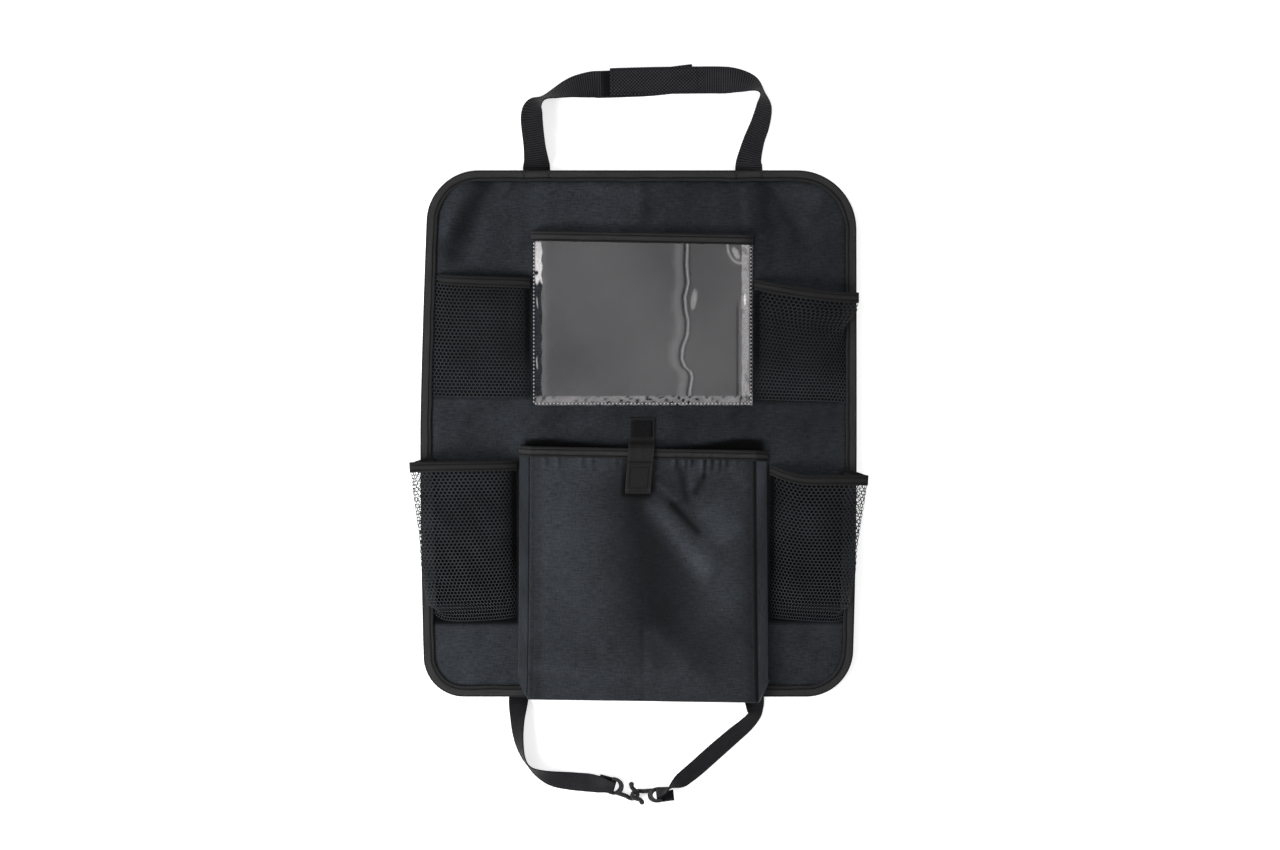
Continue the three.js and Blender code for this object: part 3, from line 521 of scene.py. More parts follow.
class Finish(Nodes):
    """A material under construction."""

    def __init__(self, name):
        self.material = bpy.data.materials.new(name)
        self.material.use_nodes = True
        super().__init__(self.material.node_tree)
        self.out = self.tree.nodes.new("ShaderNodeOutputMaterial")

    def closed(self, shader):
        """Ends the material in a shader."""
        self.tree.links.new(shader.socket, self.out.inputs["Surface"])
        return self.material

    def place(self):
        """Cloth coordinates in millimetres, as one vector."""
        return self.node("ShaderNodeAttribute", {"attribute_name": "lay"}, output=1)

    def lay(self):
        """Cloth coordinates in millimetres: across, along and the vector itself."""
        vector = self.place()
        x, y = self.split(vector)[:2]
        return x, y, vector

    def tone(self):
        """How much lighter or darker than usual the surface is, mostly painted light and shade."""
        return self.node("ShaderNodeAttribute", {"attribute_name": "tone"}, output=2)

    def scaled(self, colour, gain):
        return self.node("ShaderNodeVectorMath", {"operation": "SCALE"},
                         {0: colour, "Scale": gain})

    def stretched(self, vector, x, y):
        return self.node("ShaderNodeVectorMath", {"operation": "MULTIPLY"},
                         {0: vector, 1: (x, y, 1.0)})

    def noise(self, vector, scale, detail, roughness=0.55):
        return self.node("ShaderNodeTexNoise", None, {
            "Vector": vector, "Scale": scale, "Detail": detail, "Roughness": roughness})

    def mix(self, factor, low, high):
        node = self.tree.nodes.new("ShaderNodeMix")
        node.data_type = "RGBA"
        for socket, value in ((node.inputs[0], factor), (node.inputs[6], low),
                              (node.inputs[7], high)):
            if isinstance(value, Value):
                self.tree.links.new(value.socket, socket)
            else:
                socket.default_value = (*value, 1) if socket.type == "RGBA" else value
        return Value(self.tree, node.outputs[2])

    def bump(self, height, distance, strength):
        return self.node("ShaderNodeBump", None, {
            "Height": height, "Distance": distance * MM, "Strength": strength})

    def surface(self, **inputs):
        """The one shader of most finishes. Underscores stand for spaces."""
        values = {key.replace("_", " "): value for key, value in inputs.items()}
        return self.closed(self.node("ShaderNodeBsdfPrincipled", None, values))


def tinted(colour, gain):
    return tuple(min(c * gain, 1.0) for c in colour)


def woven_cloth(name, colour, pitch, sheen=0.06, roughness=0.6, specular=0.07):
    """Plain-woven polyester: over and under threads, uneven yarn and soft shade changes."""
    finish = Finish(name)
    x, y, vector = finish.lay()
    turn = math.pi / pitch
    across, along = (x * turn).sin(), (y * turn).sin()
    over = across * along * 0.5 + 0.5
    warp = (x * turn + math.pi / 2).sin().abs()
    weft = (y * turn + math.pi / 2).sin().abs()
    weave = over * warp + (1 - over) * weft
    yarn = finish.noise(finish.stretched(vector, 0.1, 0.65), 1.0, 4.0, 0.7)
    upright = finish.noise(finish.stretched(vector, 0.8, 0.14), 1.0, 3.0, 0.65)
    broad = finish.noise(vector, 0.018, 2.0)
    shade = (0.25 * weave + 1.3 * yarn + 0.8 * upright + 0.5 * broad - 0.95).clamp()
    # The tone attribute scales the colour: painted light and shade.
    tone = finish.scaled(finish.mix(shade, tinted(colour, 0.25), tinted(colour, 1.75)),
                         1 + finish.tone())
    height = weave * 0.6 + yarn * 0.8 + upright * 0.4
    return finish.surface(
        Base_Color=tone, Roughness=roughness + 0.16 * (yarn - 0.5), Specular_IOR_Level=specular,
        Sheen_Weight=sheen, Sheen_Roughness=0.4, Normal=finish.bump(height, 0.16, 0.7))


def ribbed_tape(name, colour, pitch):
    """Tape with fine ribs across it and a dusty, slightly worn face."""
    finish = Finish(name)
    x, y, vector = finish.lay()
    turn = math.pi / pitch
    ribs = ((y + 0.12 * (x * 1.7).sin()) * turn).sin().abs()
    threads = (x * (turn * 1.6)).sin().abs()
    fuzz = finish.noise(vector, 1.6, 4.0, 0.7)
    broad = finish.noise(finish.stretched(vector, 0.25, 0.03), 1.0, 2.0)
    shade = (0.4 * ribs + 0.2 * threads + 1.1 * fuzz + 0.5 * broad - 0.68).clamp()
    # The tone attribute scales the colour: painted light and shade.
    tone = finish.scaled(finish.mix(shade, tinted(colour, 0.3), tinted(colour, 1.75)),
                         1 + finish.tone())
    height = ribs * (0.55 + 0.45 * threads) + fuzz * 0.5
    return finish.surface(
        Base_Color=tone, Roughness=0.7, Specular_IOR_Level=0.07, Sheen_Weight=0.05,
        Sheen_Roughness=0.5, Normal=finish.bump(height, 0.22, 0.8))


def strap_webbing(name, colour, rib=2.5, relief=1.0):
    """Webbing: heavy cross ribs broken by the lengthwise threads. Where the tone is 1 it has the
    dotted weave of the doubled part instead, and below 0 it is darker, which is painted shade."""
    finish = Finish(name)
    x, y, vector = finish.lay()
    dotted = finish.tone().clamp()
    # gain darkens the colour where the tone is below 0: painted shade.
    gain = 1 + finish.tone().maths("MINIMUM", 0.0)
    ribs = ((y + 0.2 * (x * 2.1).sin()) * (math.pi / rib)).sin().abs()
    threads = (x * (math.pi / 1.5)).sin().abs()
    fuzz = finish.noise(vector, 0.9, 4.0, 0.7)
    broad = finish.noise(finish.stretched(vector, 0.1, 0.04), 1.0, 2.0)
    dots = (x * (math.pi / 1.9)).sin() * (y * (math.pi / 1.9)).sin() * 0.5 + 0.5
    body = ribs * (0.65 + 0.35 * threads) * (1 - dotted) + dots * dotted
    shade = (1.5 * relief * body + 0.9 * fuzz + 0.4 * broad - 0.15 - 0.8 * relief).clamp()
    tone = finish.scaled(finish.mix(shade, tinted(colour, 0.1), tinted(colour, 2.3)), gain)
    return finish.surface(
        Base_Color=tone, Roughness=0.58 + 0.2 * (fuzz - 0.5), Specular_IOR_Level=0.1,
        Sheen_Weight=0.05, Sheen_Roughness=0.4,
        Normal=finish.bump(body + fuzz * 0.35, 0.4 * relief, 0.85))


def elastic_band(name, colour):
    """Smooth knitted elastic: long fine cords side by side and a satin face."""
    finish = Finish(name)
    x, y, vector = finish.lay()
    cords = (x * (math.pi / 1.4)).sin().abs()
    knit = (y * (math.pi / 0.8)).sin().abs()
    fuzz = finish.noise(finish.stretched(vector, 1.2, 0.4), 1.0, 3.0)
    shade = (0.45 * cords + 0.15 * knit + 0.9 * fuzz - 0.3).clamp()
    # The tone attribute scales the colour: painted light and shade.
    tone = finish.scaled(finish.mix(shade, tinted(colour, 0.4), tinted(colour, 1.6)),
                         1 + finish.tone())
    return finish.surface(
        Base_Color=tone, Roughness=0.5, Specular_IOR_Level=0.12, Sheen_Weight=0.03,
        Normal=finish.bump(cords * 0.7 + knit * 0.3 + fuzz * 0.3, 0.25, 0.7))


def pile_tape(name, colour, cell):
    """Hook or loop tape: a dense bed of tiny bent filaments."""
    finish = Finish(name)
    vector = finish.place()
    bed = finish.node("ShaderNodeTexVoronoi", {"feature": "F1"},
                      {"Vector": vector, "Scale": 1.0 / cell, "Randomness": 0.7})
    fuzz = finish.noise(vector, 1.8, 4.0, 0.7)
    shade = (1.1 - bed + 0.5 * (fuzz - 0.5)).clamp()
    tone = finish.mix(shade, tinted(colour, 0.4), tinted(colour, 1.7))
    return finish.surface(
        Base_Color=tone, Roughness=0.8, Specular_IOR_Level=0.05, Sheen_Weight=0.05,
        Normal=finish.bump(shade + fuzz * 0.5, 0.6, 0.9))


def net_thread(name, colour):
    """Knitted net: matt thread with a fine twist."""
    finish = Finish(name)
    x, y, vector = finish.lay()
    twist = ((x + y) * 9.0).sin() * ((x - y) * 7.0).sin()
    fuzz = finish.noise(vector, 0.6, 3.0, 0.7)
    broad = finish.noise(vector, 0.03, 2.0)
    shade = (0.5 + 0.2 * twist + 0.9 * (fuzz - 0.5) + 0.5 * (broad - 0.5)).clamp()
    # The tone attribute scales the colour: painted light and shade.
    tone = finish.scaled(finish.mix(shade, tinted(colour, 0.45), tinted(colour, 1.55)),
                         1 + finish.tone())
    return finish.surface(
        Base_Color=tone, Roughness=0.62, Specular_IOR_Level=0.08, Sheen_Weight=0.03,
        Normal=finish.bump(shade, 0.12, 0.8))


def thread_finish(name, colour):
    """Sewing thread with a fine twist."""
    finish = Finish(name)
    x, y, vector = finish.lay()
    twist = ((x + y) * 8.0).sin() * 0.5 + 0.5
    fuzz = finish.noise(vector, 2.0, 3.0)
    tone = finish.mix((twist * 0.6 + fuzz * 0.6).clamp(), tinted(colour, 0.6),
                      tinted(colour, 1.4))
    return finish.surface(Base_Color=tone, Roughness=0.6, Specular_IOR_Level=0.1,
                          Normal=finish.bump(twist, 0.06, 0.6))


def clear_film(name, colour):
    """Clear soft film: mostly seen through. The tone is how much of it is gloss, with highlights
    and dark reflections painted into it.
    """
    finish = Finish(name)
    vector = finish.place()
    gloss_share = finish.tone()
    scuffs = finish.noise(finish.stretched(vector, 0.02, 0.11), 1.0, 4.0, 0.7)
    cloud = finish.noise(vector, 0.02, 3.0)
    speckle = finish.noise(vector, 0.45, 4.0, 0.75)
    seam = ((gloss_share - 0.15) * 8.0).clamp()
    facing = finish.node("ShaderNodeLayerWeight", None, {"Blend": 0.32}, output=1)
    cover = (gloss_share * (1 + seam * (2.6 * speckle - 1.3)) + 0.02 * (cloud - 0.5)
             + 0.15 * facing**3.0).clamp()
    gloss = finish.node("ShaderNodeBsdfPrincipled", None, {
        "Base Color": (*colour, 1), "Metallic": 1.0,
        "Roughness": 0.07 + 0.05 * scuffs,
        "Normal": finish.bump(scuffs + cloud * 4.0, 0.05, 0.2)})
    clear = finish.node("ShaderNodeBsdfTransparent", None, {"Color": (0.97, 0.97, 0.97, 1)})
    return finish.closed(finish.node("ShaderNodeMixShader", None, {0: cover, 1: clear, 2: gloss}))


def moulded_plastic(name, colour):
    """Moulded black plastic: faint orange peel and a broad uneven tone."""
    finish = Finish(name)
    place = finish.node("ShaderNodeTexCoord", output=3)
    peel = finish.noise(place, 900.0, 3.0)
    broad = finish.noise(place, 90.0, 2.0)
    tone = finish.mix((broad * 0.8 + peel * 0.4).clamp(), tinted(colour, 0.7),
                      tinted(colour, 1.6))
    return finish.surface(Base_Color=tone, Roughness=0.34 + 0.12 * broad,
                          Specular_IOR_Level=0.5, Normal=finish.bump(peel, 0.05, 0.4))


# Panel

def panel_edge(side, y):
    """Distance of the panel's left (-1) or right (1) side from the middle, at a height."""
    y = np.asarray(y, float)
    bottom, top = (BOTTOM_LEFT, TOP_LEFT) if side < 0 else (BOTTOM_RIGHT, TOP_RIGHT)
    radius, taper, curve = (np.where(y < 0, low, high) for low, high in zip(bottom, top))
    into = np.maximum(np.abs(y) - (TOP - radius), 0)
    cut = radius - np.sqrt(np.maximum(radius**2 - into**2, 0))
    return PANEL_WIDTH / 2 - taper * (np.abs(y) / TOP) ** curve - cut


def panel_rows(corner_steps, straight_steps):
    """Heights of the panel's rows, closer together in its corners."""
    low, high = BOTTOM_RIGHT[0], TOP_RIGHT[0]
    foot_turn = np.linspace(0, math.pi / 2, corner_steps, endpoint=False)
    head_turn = np.linspace(0, math.pi / 2, corner_steps + 1)
    return np.concatenate([
        -TOP + low * (1 - np.cos(foot_turn)),
        np.linspace(-TOP + low, TOP - high, straight_steps, endpoint=False),
        TOP - high * (1 - np.sin(head_turn))])


# What lies on the panel, as boxes: x from and to, y from and to
COVERED = (
    (-123, 131, 26, 229), (-260, -116, 28, 181), (124, 260, 24, 174),
    (-260, -131, -218, -24), (140, 260, -218, -32), (-139, 149, -300, -2), (-16, 22, -8, 22),
)


def free_of_pockets(x, y):
    """1 on bare cloth and 0 where something lies on the panel."""
    def inside(x0, x1, y0, y1, soft=9.0):
        return (ease(x0 - soft, x0, x) * ease(-x1 - soft, -x1, -x)
                * ease(y0 - soft, y0, y) * ease(-y1 - soft, -y1, -y))

    covered = 0
    for box in COVERED:
        covered = np.maximum(covered, inside(*box))
    edge = np.minimum(panel_edge(1, y) - x, panel_edge(-1, y) + x)
    rim_free = ease(EDGE_LEG, EDGE_LEG + 14, edge) * ease(
        EDGE_LEG - 2, EDGE_LEG + 6, TOP - np.abs(y))
    return (1 - covered) * rim_free


# Shallow swells of the panel's cloth: start, end, half width and height
PANEL_CREASES = (
    ((-220, -225), (-150, -262), 14, 1.4), ((-80, 12), (110, 8), 9, 1.1),
    ((160, -238), (215, -262), 12, 1.2),
)


def panel_relief(x, y):
    """Height of the panel's shallow folds and waves."""
    relief = 0.7 * ripple(x, y, 95, 3) + 0.28 * ripple(x, y, 34, 5)
    relief = relief + 3.6 * fold_step(x, y, (-166, 290), (-212, 190), 14) * ease(
        150, 215, y) * (1 - ease(-160, -110, x)) * ease(-235, -205, x)
    relief = relief + 2.2 * fold_step(x, y, (4, 300), (10, 215), 8) * ease(200, 250, y) * (
        1 - ease(20, 90, x)) * ease(-80, -30, x)
    relief = relief + 1.8 * fold_step(x, y, (117, 290), (125, 215), 7) * ease(
        200, 245, y) * ease(60, 110, x) * (1 - ease(130, 180, x))
    relief = relief + 1.6 * fold_step(x, y, (140, 285), (175, 215), 12) * ease(
        170, 225, y) * (1 - ease(170, 215, x))
    relief = relief + creases(x, y, PANEL_CREASES)
    under_tape = bell(TOP - np.abs(y), EDGE_LEG + 5, 4.5)
    relief = relief + 0.5 * under_tape * np.sin(x / 4.1 + 2.2 * np.sin(x / 19))
    return relief * free_of_pockets(x, y)


# Upper edge of the painted shadow inside the main pocket's mouth
MOUTH_SHADOW_LINE = [(-126, -8), (-100, -6.5), (-60, -10.5), (-11, -14.5), (19, -16), (68, -13),
            (96, -8), (117, -6), (138, -8)]


# Painted shade and highlight lines along the panel's folds: start, end, half width and how much
# lighter or darker
PANEL_SHADES = (
    ((-169, 283), (-209, 186), 14, -0.66), ((-194, 268), (-219, 216), 8, 0.3),
    ((-152, 275), (-184, 190), 16, 0.16),
    ((-105, 24), (20, 22), 15, -0.15), ((150, 272), (206, 262), 18, 0.2),
    ((-136, 273), (-149, 259), 3, -0.35), ((-120, 262), (-90, 248), 12, 0.1),
    ((-2, 290), (-4, 228), 5, 0.14), ((8, 290), (8, 228), 7, -0.2),
    ((116, 275), (118, 226), 5, 0.32), ((137, 285), (141, 222), 9, -0.22),
    ((142, 272), (177, 211), 5, -0.18), ((157, 276), (190, 215), 8, 0.12),
    ((-225, 130), (-225, -230), 8, 0.12), ((-210, -215), (-150, -262), 20, 0.2),
    ((160, -240), (215, -262), 12, 0.15), ((-80, 14), (60, 10), 9, 0.12),
)


def panel_painted_shading(x, y):
    """Painted light and shade on the panel's cloth: lighter and darker bands along its folds,
    lighter towards the top middle and the lower left, darker towards the lower right, and painted
    shadow under the nets, inside the main pocket's mouth and along the edge binding."""
    tone = 0.1 * ripple(x, y, 80, 51) + 0.07 * ripple(x, y, 26, 53)
    # Painted light and shade: lighter at the top middle and the lower left, darker towards the
    # lower right and under the window.
    tone = tone + 0.2 * bell(x, -60, 75) * ease(190, 240, y)
    tone = tone - 0.22 * ease(5, 60, x) * ease(-60, 40, y) - 0.16 * bell(x, 0, 110) * bell(
        y, 15, 20) + 0.15 * (1 - ease(-150, -120, x)) * (1 - ease(-215, -190, y))
    tone = tone + creases(x, y, PANEL_SHADES)
    # Painted shade in the small waves of the cloth along the top and bottom binding.
    tone = tone - 0.2 * bell(TOP - np.abs(y), EDGE_LEG + 3, 4) * (
        0.5 + 0.5 * np.sin(x / 4.1 + 2.2 * np.sin(x / 19)))
    # Painted shadow on the cloth under each net, lighter towards the top.
    for pocket in NETS.values():
        side, reach = pocket["side"], x * pocket["side"]
        bottom, mouth = min(pocket["bottom"]) - pocket["sag"], max(pocket["mouth"])
        inner = abs(pocket["inner"])
        under = ease(inner - 6, inner, reach) * ease(bottom - 2, bottom + 4, y) * (
            1 - ease(mouth - 4, mouth + 4, y))
        net_shadow = -0.97 + 0.22 * ease(-135, -95, y) + 0.11 * ease(-30, 60, y)
        tone = np.minimum(tone, lerp(tone, net_shadow, np.where(np.sign(x) == side, under, 0)))
    # Painted shadow on the panel inside the main pocket's mouth.
    line = np.array(MOUTH_SHADOW_LINE, float)
    mouth_shadow_top = np.interp(x, line[:, 0], line[:, 1])
    mouth_shadow = (1 - ease(-1.5, 3.5, y - mouth_shadow_top)) * ease(-129, -122, x) * (1 - ease(134, 142, x))
    tone = np.minimum(tone, lerp(tone, -0.97, mouth_shadow))
    # Painted shade on the cloth along the edge binding.
    edge = np.minimum(panel_edge(1, y) - x, panel_edge(-1, y) + x)
    edge = np.minimum(edge, TOP - np.abs(y))
    return np.minimum(tone, lerp(-0.75, tone, ease(EDGE_LEG, EDGE_LEG + 1.8, edge)))


def outline_points(step):
    """The panel's outline, anticlockwise and evenly spaced, with outward directions."""
    rows = panel_rows(24, 60)
    right = np.stack([panel_edge(1, rows), rows], 1)
    left = np.stack([-panel_edge(-1, rows), rows], 1)[::-1]
    line = np.concatenate([right, left, right[:1]])
    far = np.concatenate([[0], np.cumsum(np.linalg.norm(np.diff(line, axis=0), axis=1))])
    count = int(far[-1] / step)
    at = np.arange(count) * far[-1] / count
    line = np.stack([np.interp(at, far, line[:, k]) for k in range(2)], 1)
    ahead, behind = np.roll(line, -1, 0), np.roll(line, 1, 0)
    along = unit(ahead - behind)
    return line, np.stack([along[:, 1], -along[:, 0]], 1), at


def build_panel(sizes, looks):
    rows = panel_rows(20, 150)
    columns = 150
    u = np.linspace(0, 1, columns)[:, None]
    y = np.broadcast_to(rows[None], (columns, len(rows)))
    x = lerp(-panel_edge(-1, y), panel_edge(1, y), u)
    middle = (PANEL_TOP + PANEL_BOTTOM) / 2
    grid = np.stack([x, y, np.full_like(x, middle)], -1)
    points, faces = shell(grid, PANEL_THICKNESS)[:2]
    count = columns * len(rows)
    relief = panel_relief(points[:, 0], points[:, 1])
    points[:count, 2] += relief[:count]
    points[count:, 2] += np.clip(0.4 * relief[count:], -0.25, 0.25)
    tone = panel_painted_shading(points[:, 0], points[:, 1])
    tone[count:] = 0
    panel = make_piece("back_panel_cloth", points, faces, looks["cloth"],
                       points[:, :2], ["back_panel"], tone)
    binding = build_edge_binding(looks)
    stitching = edge_stitches(sizes)
    threads = stitching.build("edge_binding_stitches", looks["thread"])


EDGE_STITCH = -7.4  # from the panel's edge
CROSS_STITCHES = (-126.0, -99.0, 107.5, 135.5)  # x of the crosses at the straps' edges


def build_edge_binding(looks):
    line, out, at = outline_points(2.4)
    middle = (BINDING_BOTTOM + LEG_TOP) / 2
    half = (LEG_TOP - BINDING_BOTTOM) / 2
    outer = folded_outline(EDGE_LEG, half, GAP + EDGE_TAPE_THICKNESS, (EDGE_STITCH,), 0.24, 10)
    section = tape_ring(outer, EDGE_TAPE_THICKNESS)
    wander = 0.35 * ripple(at, 0 * at, 46, 11)
    reach = section[None, :, 0] + np.where(section[None, :, 0] < -6, wander[:, None], 0)
    rings = np.empty((len(line), len(section), 3))
    rings[..., 0] = line[:, None, 0] + out[:, None, 0] * reach
    rings[..., 1] = line[:, None, 1] + out[:, None, 1] * reach
    rings[..., 2] = middle + section[None, :, 1]
    points, faces = loft(rings, closed=True)
    across = np.broadcast_to(arc_lengths(np.c_[section, 0 * section[:, 0]])[None],
                             rings.shape[:2])
    lay = np.stack([across, np.broadcast_to(at[:, None], rings.shape[:2])], -1).reshape(-1, 2)
    faces = [face[::-1] for face in faces]
    tone = np.broadcast_to(tape_tone(section, (EDGE_STITCH,))[None], rings.shape[:2]).ravel()
    return make_piece("edge_binding_tape", points, faces, looks["binding"],
                      lay, ["edge_binding"], tone)


def edge_stitches(sizes):
    stitching = Stitching(sizes)
    line, out = outline_points(1.2)[:2]
    line = np.concatenate([line, line[:1]])
    out = np.concatenate([out, out[:1]])
    up = np.array([0.0, 0.0, 1.0])
    path = line + out * EDGE_STITCH
    row = np.c_[path, np.full(len(path), LEG_TOP - 0.2)]
    stitching.row(row, up)
    under = np.c_[path, np.full(len(path), BINDING_BOTTOM + 0.2)]
    stitching.row(under, -up)
    for x in CROSS_STITCHES:
        for lean in (-1, 1):
            cross = np.array([[x - 2.2 * lean, TOP - 9.6, LEG_TOP + 0.02],
                              [x + 2.2 * lean, TOP - 0.6, LEG_TOP + 0.02]])
            stitching.row(cross, up, pitch=3.2, length=2.9)
    return stitching


# Window

def window_surface(u, v):
    lift = (TAPE_THICKNESS + GAP) * ease(0.82, 0.93, v)
    seat = PANEL_TOP + GAP + FILM / 2 + lift
    top = lerp(WINDOW["top_left"], WINDOW["top_right"], u)
    rise = WINDOW["crown"] * (1 - np.abs(2 * u - 1) ** 22) * ease(0, 0.1, v)
    x = lerp(WINDOW["left"], WINDOW["right"], u)
    y = lerp(WINDOW["bottom"], top, v)
    rise = rise + window_crinkles(x, y) * ease(0, 0.05, v) * ease(0, 0.03, u) * ease(0, 0.03, 1 - u)
    return np.stack([x, y, seat + rise], -1)


# The film's one long crease, as [x, y] from its top
CRINKLE = [(53.9, 220), (53.9, 205), (53, 185), (54.8, 164.5), (51.2, 150), (52.1, 136),
           (54.8, 123), (53.9, 108), (48.6, 94), (47.7, 82), (51.2, 73), (57.4, 68),
           (59.1, 61), (56.5, 47), (56.5, 30)]
CLEAR_COVER = 0.0615  # share of gloss on the plain film
SEAM_INSET = 1.9
SEAM_RISE = 0.16


def crinkle_line(y):
    line = np.array(CRINKLE[::-1], float)
    return np.interp(y, line[:, 1], line[:, 0])


def blot(x, y, at, size, lean=0.0):
    """An oval spot with a fairly firm edge: its centre, half sizes and lean."""
    dx = x - at[0] - lean * (y - at[1])
    return 1 - ease(0.7, 1.15, np.hypot(dx / size[0], (y - at[1]) / size[1]))


def window_crinkles(x, y):
    """The film's creases: one long wavy one, small dimples and puckered edges."""
    aside = x - crinkle_line(y)
    tall = 0.45 * bell(aside, -0.6, 1.5) - 0.35 * bell(aside, -4.5, 3.0)
    tall = tall + 0.3 * blot(x, y, (60.5, 147), (3.2, 11))
    strip = 0.35 * bell(x, 117.5, 2.6)
    foot = bell(y, 37, 4.0) * (0.3 * np.sin(x / 3.1 + 2 * np.sin(x / 17.0))
                               + 0.2 * np.sin(x / 7.7))
    return tall + strip * (1 + 0.4 * np.sin(y / 9.0)) + foot + 0.1 * ripple(x, y, 120, 21)


def window_painted_gloss(x, y):
    """How much of the film is gloss at each place: its plain share, and painted highlights and dark
    reflections on its seams, creases and margins.
    """
    wave = 0.8 * np.sin(y / 3.7 + 2 * np.sin(y / 15))
    cover = CLEAR_COVER + 0.012 * ripple(x, y, 150, 23)
    aside = x - crinkle_line(y)
    # Painted highlight along the long crease, with darker painted lines beside it and a painted
    # oval highlight.
    cover = cover + 0.045 * bell(aside, -9.5, 5) - 0.05 * bell(aside, -3.2, 1.4)
    cover = cover + 0.15 * bell(aside, 0, 1.15) - 0.02 * bell(aside, 2.6, 1.2)
    cover = cover + 0.13 * blot(x, y, (60.8, 147), (3.3, 11.5), 0.12)
    # Painted highlights near the top right: a spot, an arc and thin lines.
    cover = cover + 0.17 * blot(x, y, (107, 198), (3.6, 7), -0.4)
    arc = np.hypot((x - 112) / 14, (y - 206) / 19)
    cover = cover + 0.16 * bell(arc, 1, 0.08) * ease(170, 190, y)
    cover = cover + 0.04 * bell(x, 111.7, 0.9) * (1 - ease(140, 150, y))
    cover = cover - 0.04 * bell(x, 108.5, 1.2) * (1 - ease(135, 150, y))
    # Lighter painted gloss band at the right, with a painted highlight spot.
    right = ease(112.6, 114.2, x + 0.5 * wave)
    cover = lerp(cover, 0.25, right)
    cover = cover + 0.75 * blot(x, y, (116.8, 147), (1.2, 6.5))
    # Dark painted reflection along the left margin.
    left = 1 - ease(-106.9, -105.6, x + 0.9 * wave)
    cover = cover + 0.03 * bell(x, -104, 3)
    cover = lerp(cover, 0.004, left)
    # Painted white highlight strip near the top of the left margin, and thin curved painted
    # highlights below it.
    light = ease(164, 169, y + 2 * np.sin(x)) * (1 - ease(208, 212, y)) * (
        1 - blot(x, y, (-112.5, 176.5), (3.0, 3.0)))
    white = left * light * ease(-115.4, -114.4, x)
    cover = lerp(cover, 0.9 - 0.25 * ease(185, 205, y), white)
    curve = np.abs(x + 110.2 - 1.6 * np.sin((y - 100) / 11.0))
    cover = cover + left * (1 - light) * 0.28 * (1 - ease(0.35, 1.0, curve)) * ease(
        0.35, 0.8, np.sin(y / 7.0) * np.sin(y / 23.0 + 1))
    # Speckled painted gloss along the foot, with dark painted blotches there and in the right band.
    foot = 1 - ease(40.2, 41.8, y + 0.3 * wave)
    cover = lerp(cover, 0.16 + 0.03 * ripple(x, y, 14, 33), foot * ease(-116, -110, x))
    blotch = ease(0.25, 0.6, ripple(x, y, 6, 27)) * (0.45 + bell(x, 14, 34))
    cover = cover - 0.24 * foot * blotch - 0.1 * right * ease(0.4, 0.8, ripple(x, y, 9, 29))
    # Dark painted line along the stitched seam.
    inset = np.minimum(np.minimum(x - WINDOW["left"], WINDOW["right"] - x), y - WINDOW["bottom"])
    return np.clip(lerp(cover, 0.02, bell(inset, SEAM_INSET, 0.8)), 0.003, 0.95)


def packed(stops, counts):
    """Places from the first stop to the last, with a count of steps for each stretch."""
    parts = [np.linspace(a, b, n, endpoint=False) for a, b, n in zip(stops, stops[1:], counts)]
    return np.concatenate(parts + [[stops[-1]]])


def window_seam(sizes, looks):
    """Stitches along the film's two sides and its foot."""
    stitching = Stitching(sizes)
    stitching.radius *= 2
    inset = SEAM_INSET / (WINDOW["right"] - WINDOW["left"])
    up_side = np.linspace(WINDOW["bottom"] + SEAM_INSET, 208, 60)
    up_side = (up_side - WINDOW["bottom"]) / (219 - WINDOW["bottom"])
    foot = np.linspace(inset, 1 - inset, 90)
    for u, v in ((np.full_like(up_side, inset), up_side),
                 (np.full_like(up_side, 1 - inset), up_side),
                 (foot, np.full_like(foot, SEAM_INSET / 189))):
        line = window_surface(u, v) + [0, 0, SEAM_RISE]
        stitching.row(line, [0, 0, 1.0], pitch=4.0, length=1.7)
    return stitching.build("window_seam_stitches", looks["seam"])


def build_window(sizes, looks):
    width = WINDOW["right"] - WINDOW["left"]
    u = packed([WINDOW["left"], -104, 38, 64, 98, WINDOW["right"]], (30, 40, 40, 20, 48))
    u = ((u - WINDOW["left"]) / width)[:, None]
    v = packed([0, 0.065, 1], (14, 130))[None]
    u, v = np.broadcast_arrays(u, v)
    points, faces, lay = shell(window_surface(u, v), FILM_SHEET)
    film = make_piece("window_film_clear", points, faces, looks["film"], lay,
                      ["window_film"], window_painted_gloss(points[:, 0], points[:, 1]))
    binding, threads = build_mouth_tape("window", window_surface, 0.0, 1.0, 130, FILM_SHEET,
                                        sizes, looks, rows=(-2.6, -8.6))
    seam = window_seam(sizes, looks)


# Tapes over the pockets' mouths

def build_mouth_tape(name, surface, first, last, count, sheet, sizes, looks,
                     rows=(-2.4, -8.2), shade=(-0.3, 1.0, 0.0)):
    """Tape folded over a sheet's mouth, with its rows of stitches."""
    u = np.linspace(first, last, count)
    step = 1e-3
    one = np.ones_like(u)
    edge = surface(u, one)
    up = unit(edge - surface(u, one * 0.975))
    along = surface(np.minimum(u + step, 1), one) - surface(np.maximum(u - step, 0), one)
    across = unit(np.cross(along, up))
    half = sheet / 2 + GAP + TAPE_THICKNESS
    outer = folded_outline(MOUTH_LEG, half, GAP + TAPE_THICKNESS, rows, 0.2, 8)
    section = tape_ring(outer, TAPE_THICKNESS)
    rings = (edge[:, None] + up[:, None] * section[None, :, :1]
             + across[:, None] * section[None, :, 1:])
    points, faces = loft(rings, caps="tape")
    lay = ring_lay(rings)
    tone = np.broadcast_to(tape_tone(section, rows, *shade)[None], rings.shape[:2]).ravel()
    tape = make_piece(f"{name}_mouth_tape", points, [f[::-1] for f in faces],
                      looks["binding"], lay, [f"{name}_binding"], tone)
    stitching = Stitching(sizes)
    for t in rows:
        for face in (1, -1):
            line = edge + up * t + across * face * (half - 0.17)
            stitching.row(line, across * face)
    threads = stitching.build(f"{name}_mouth_stitches", looks["thread"])
    return tape, threads


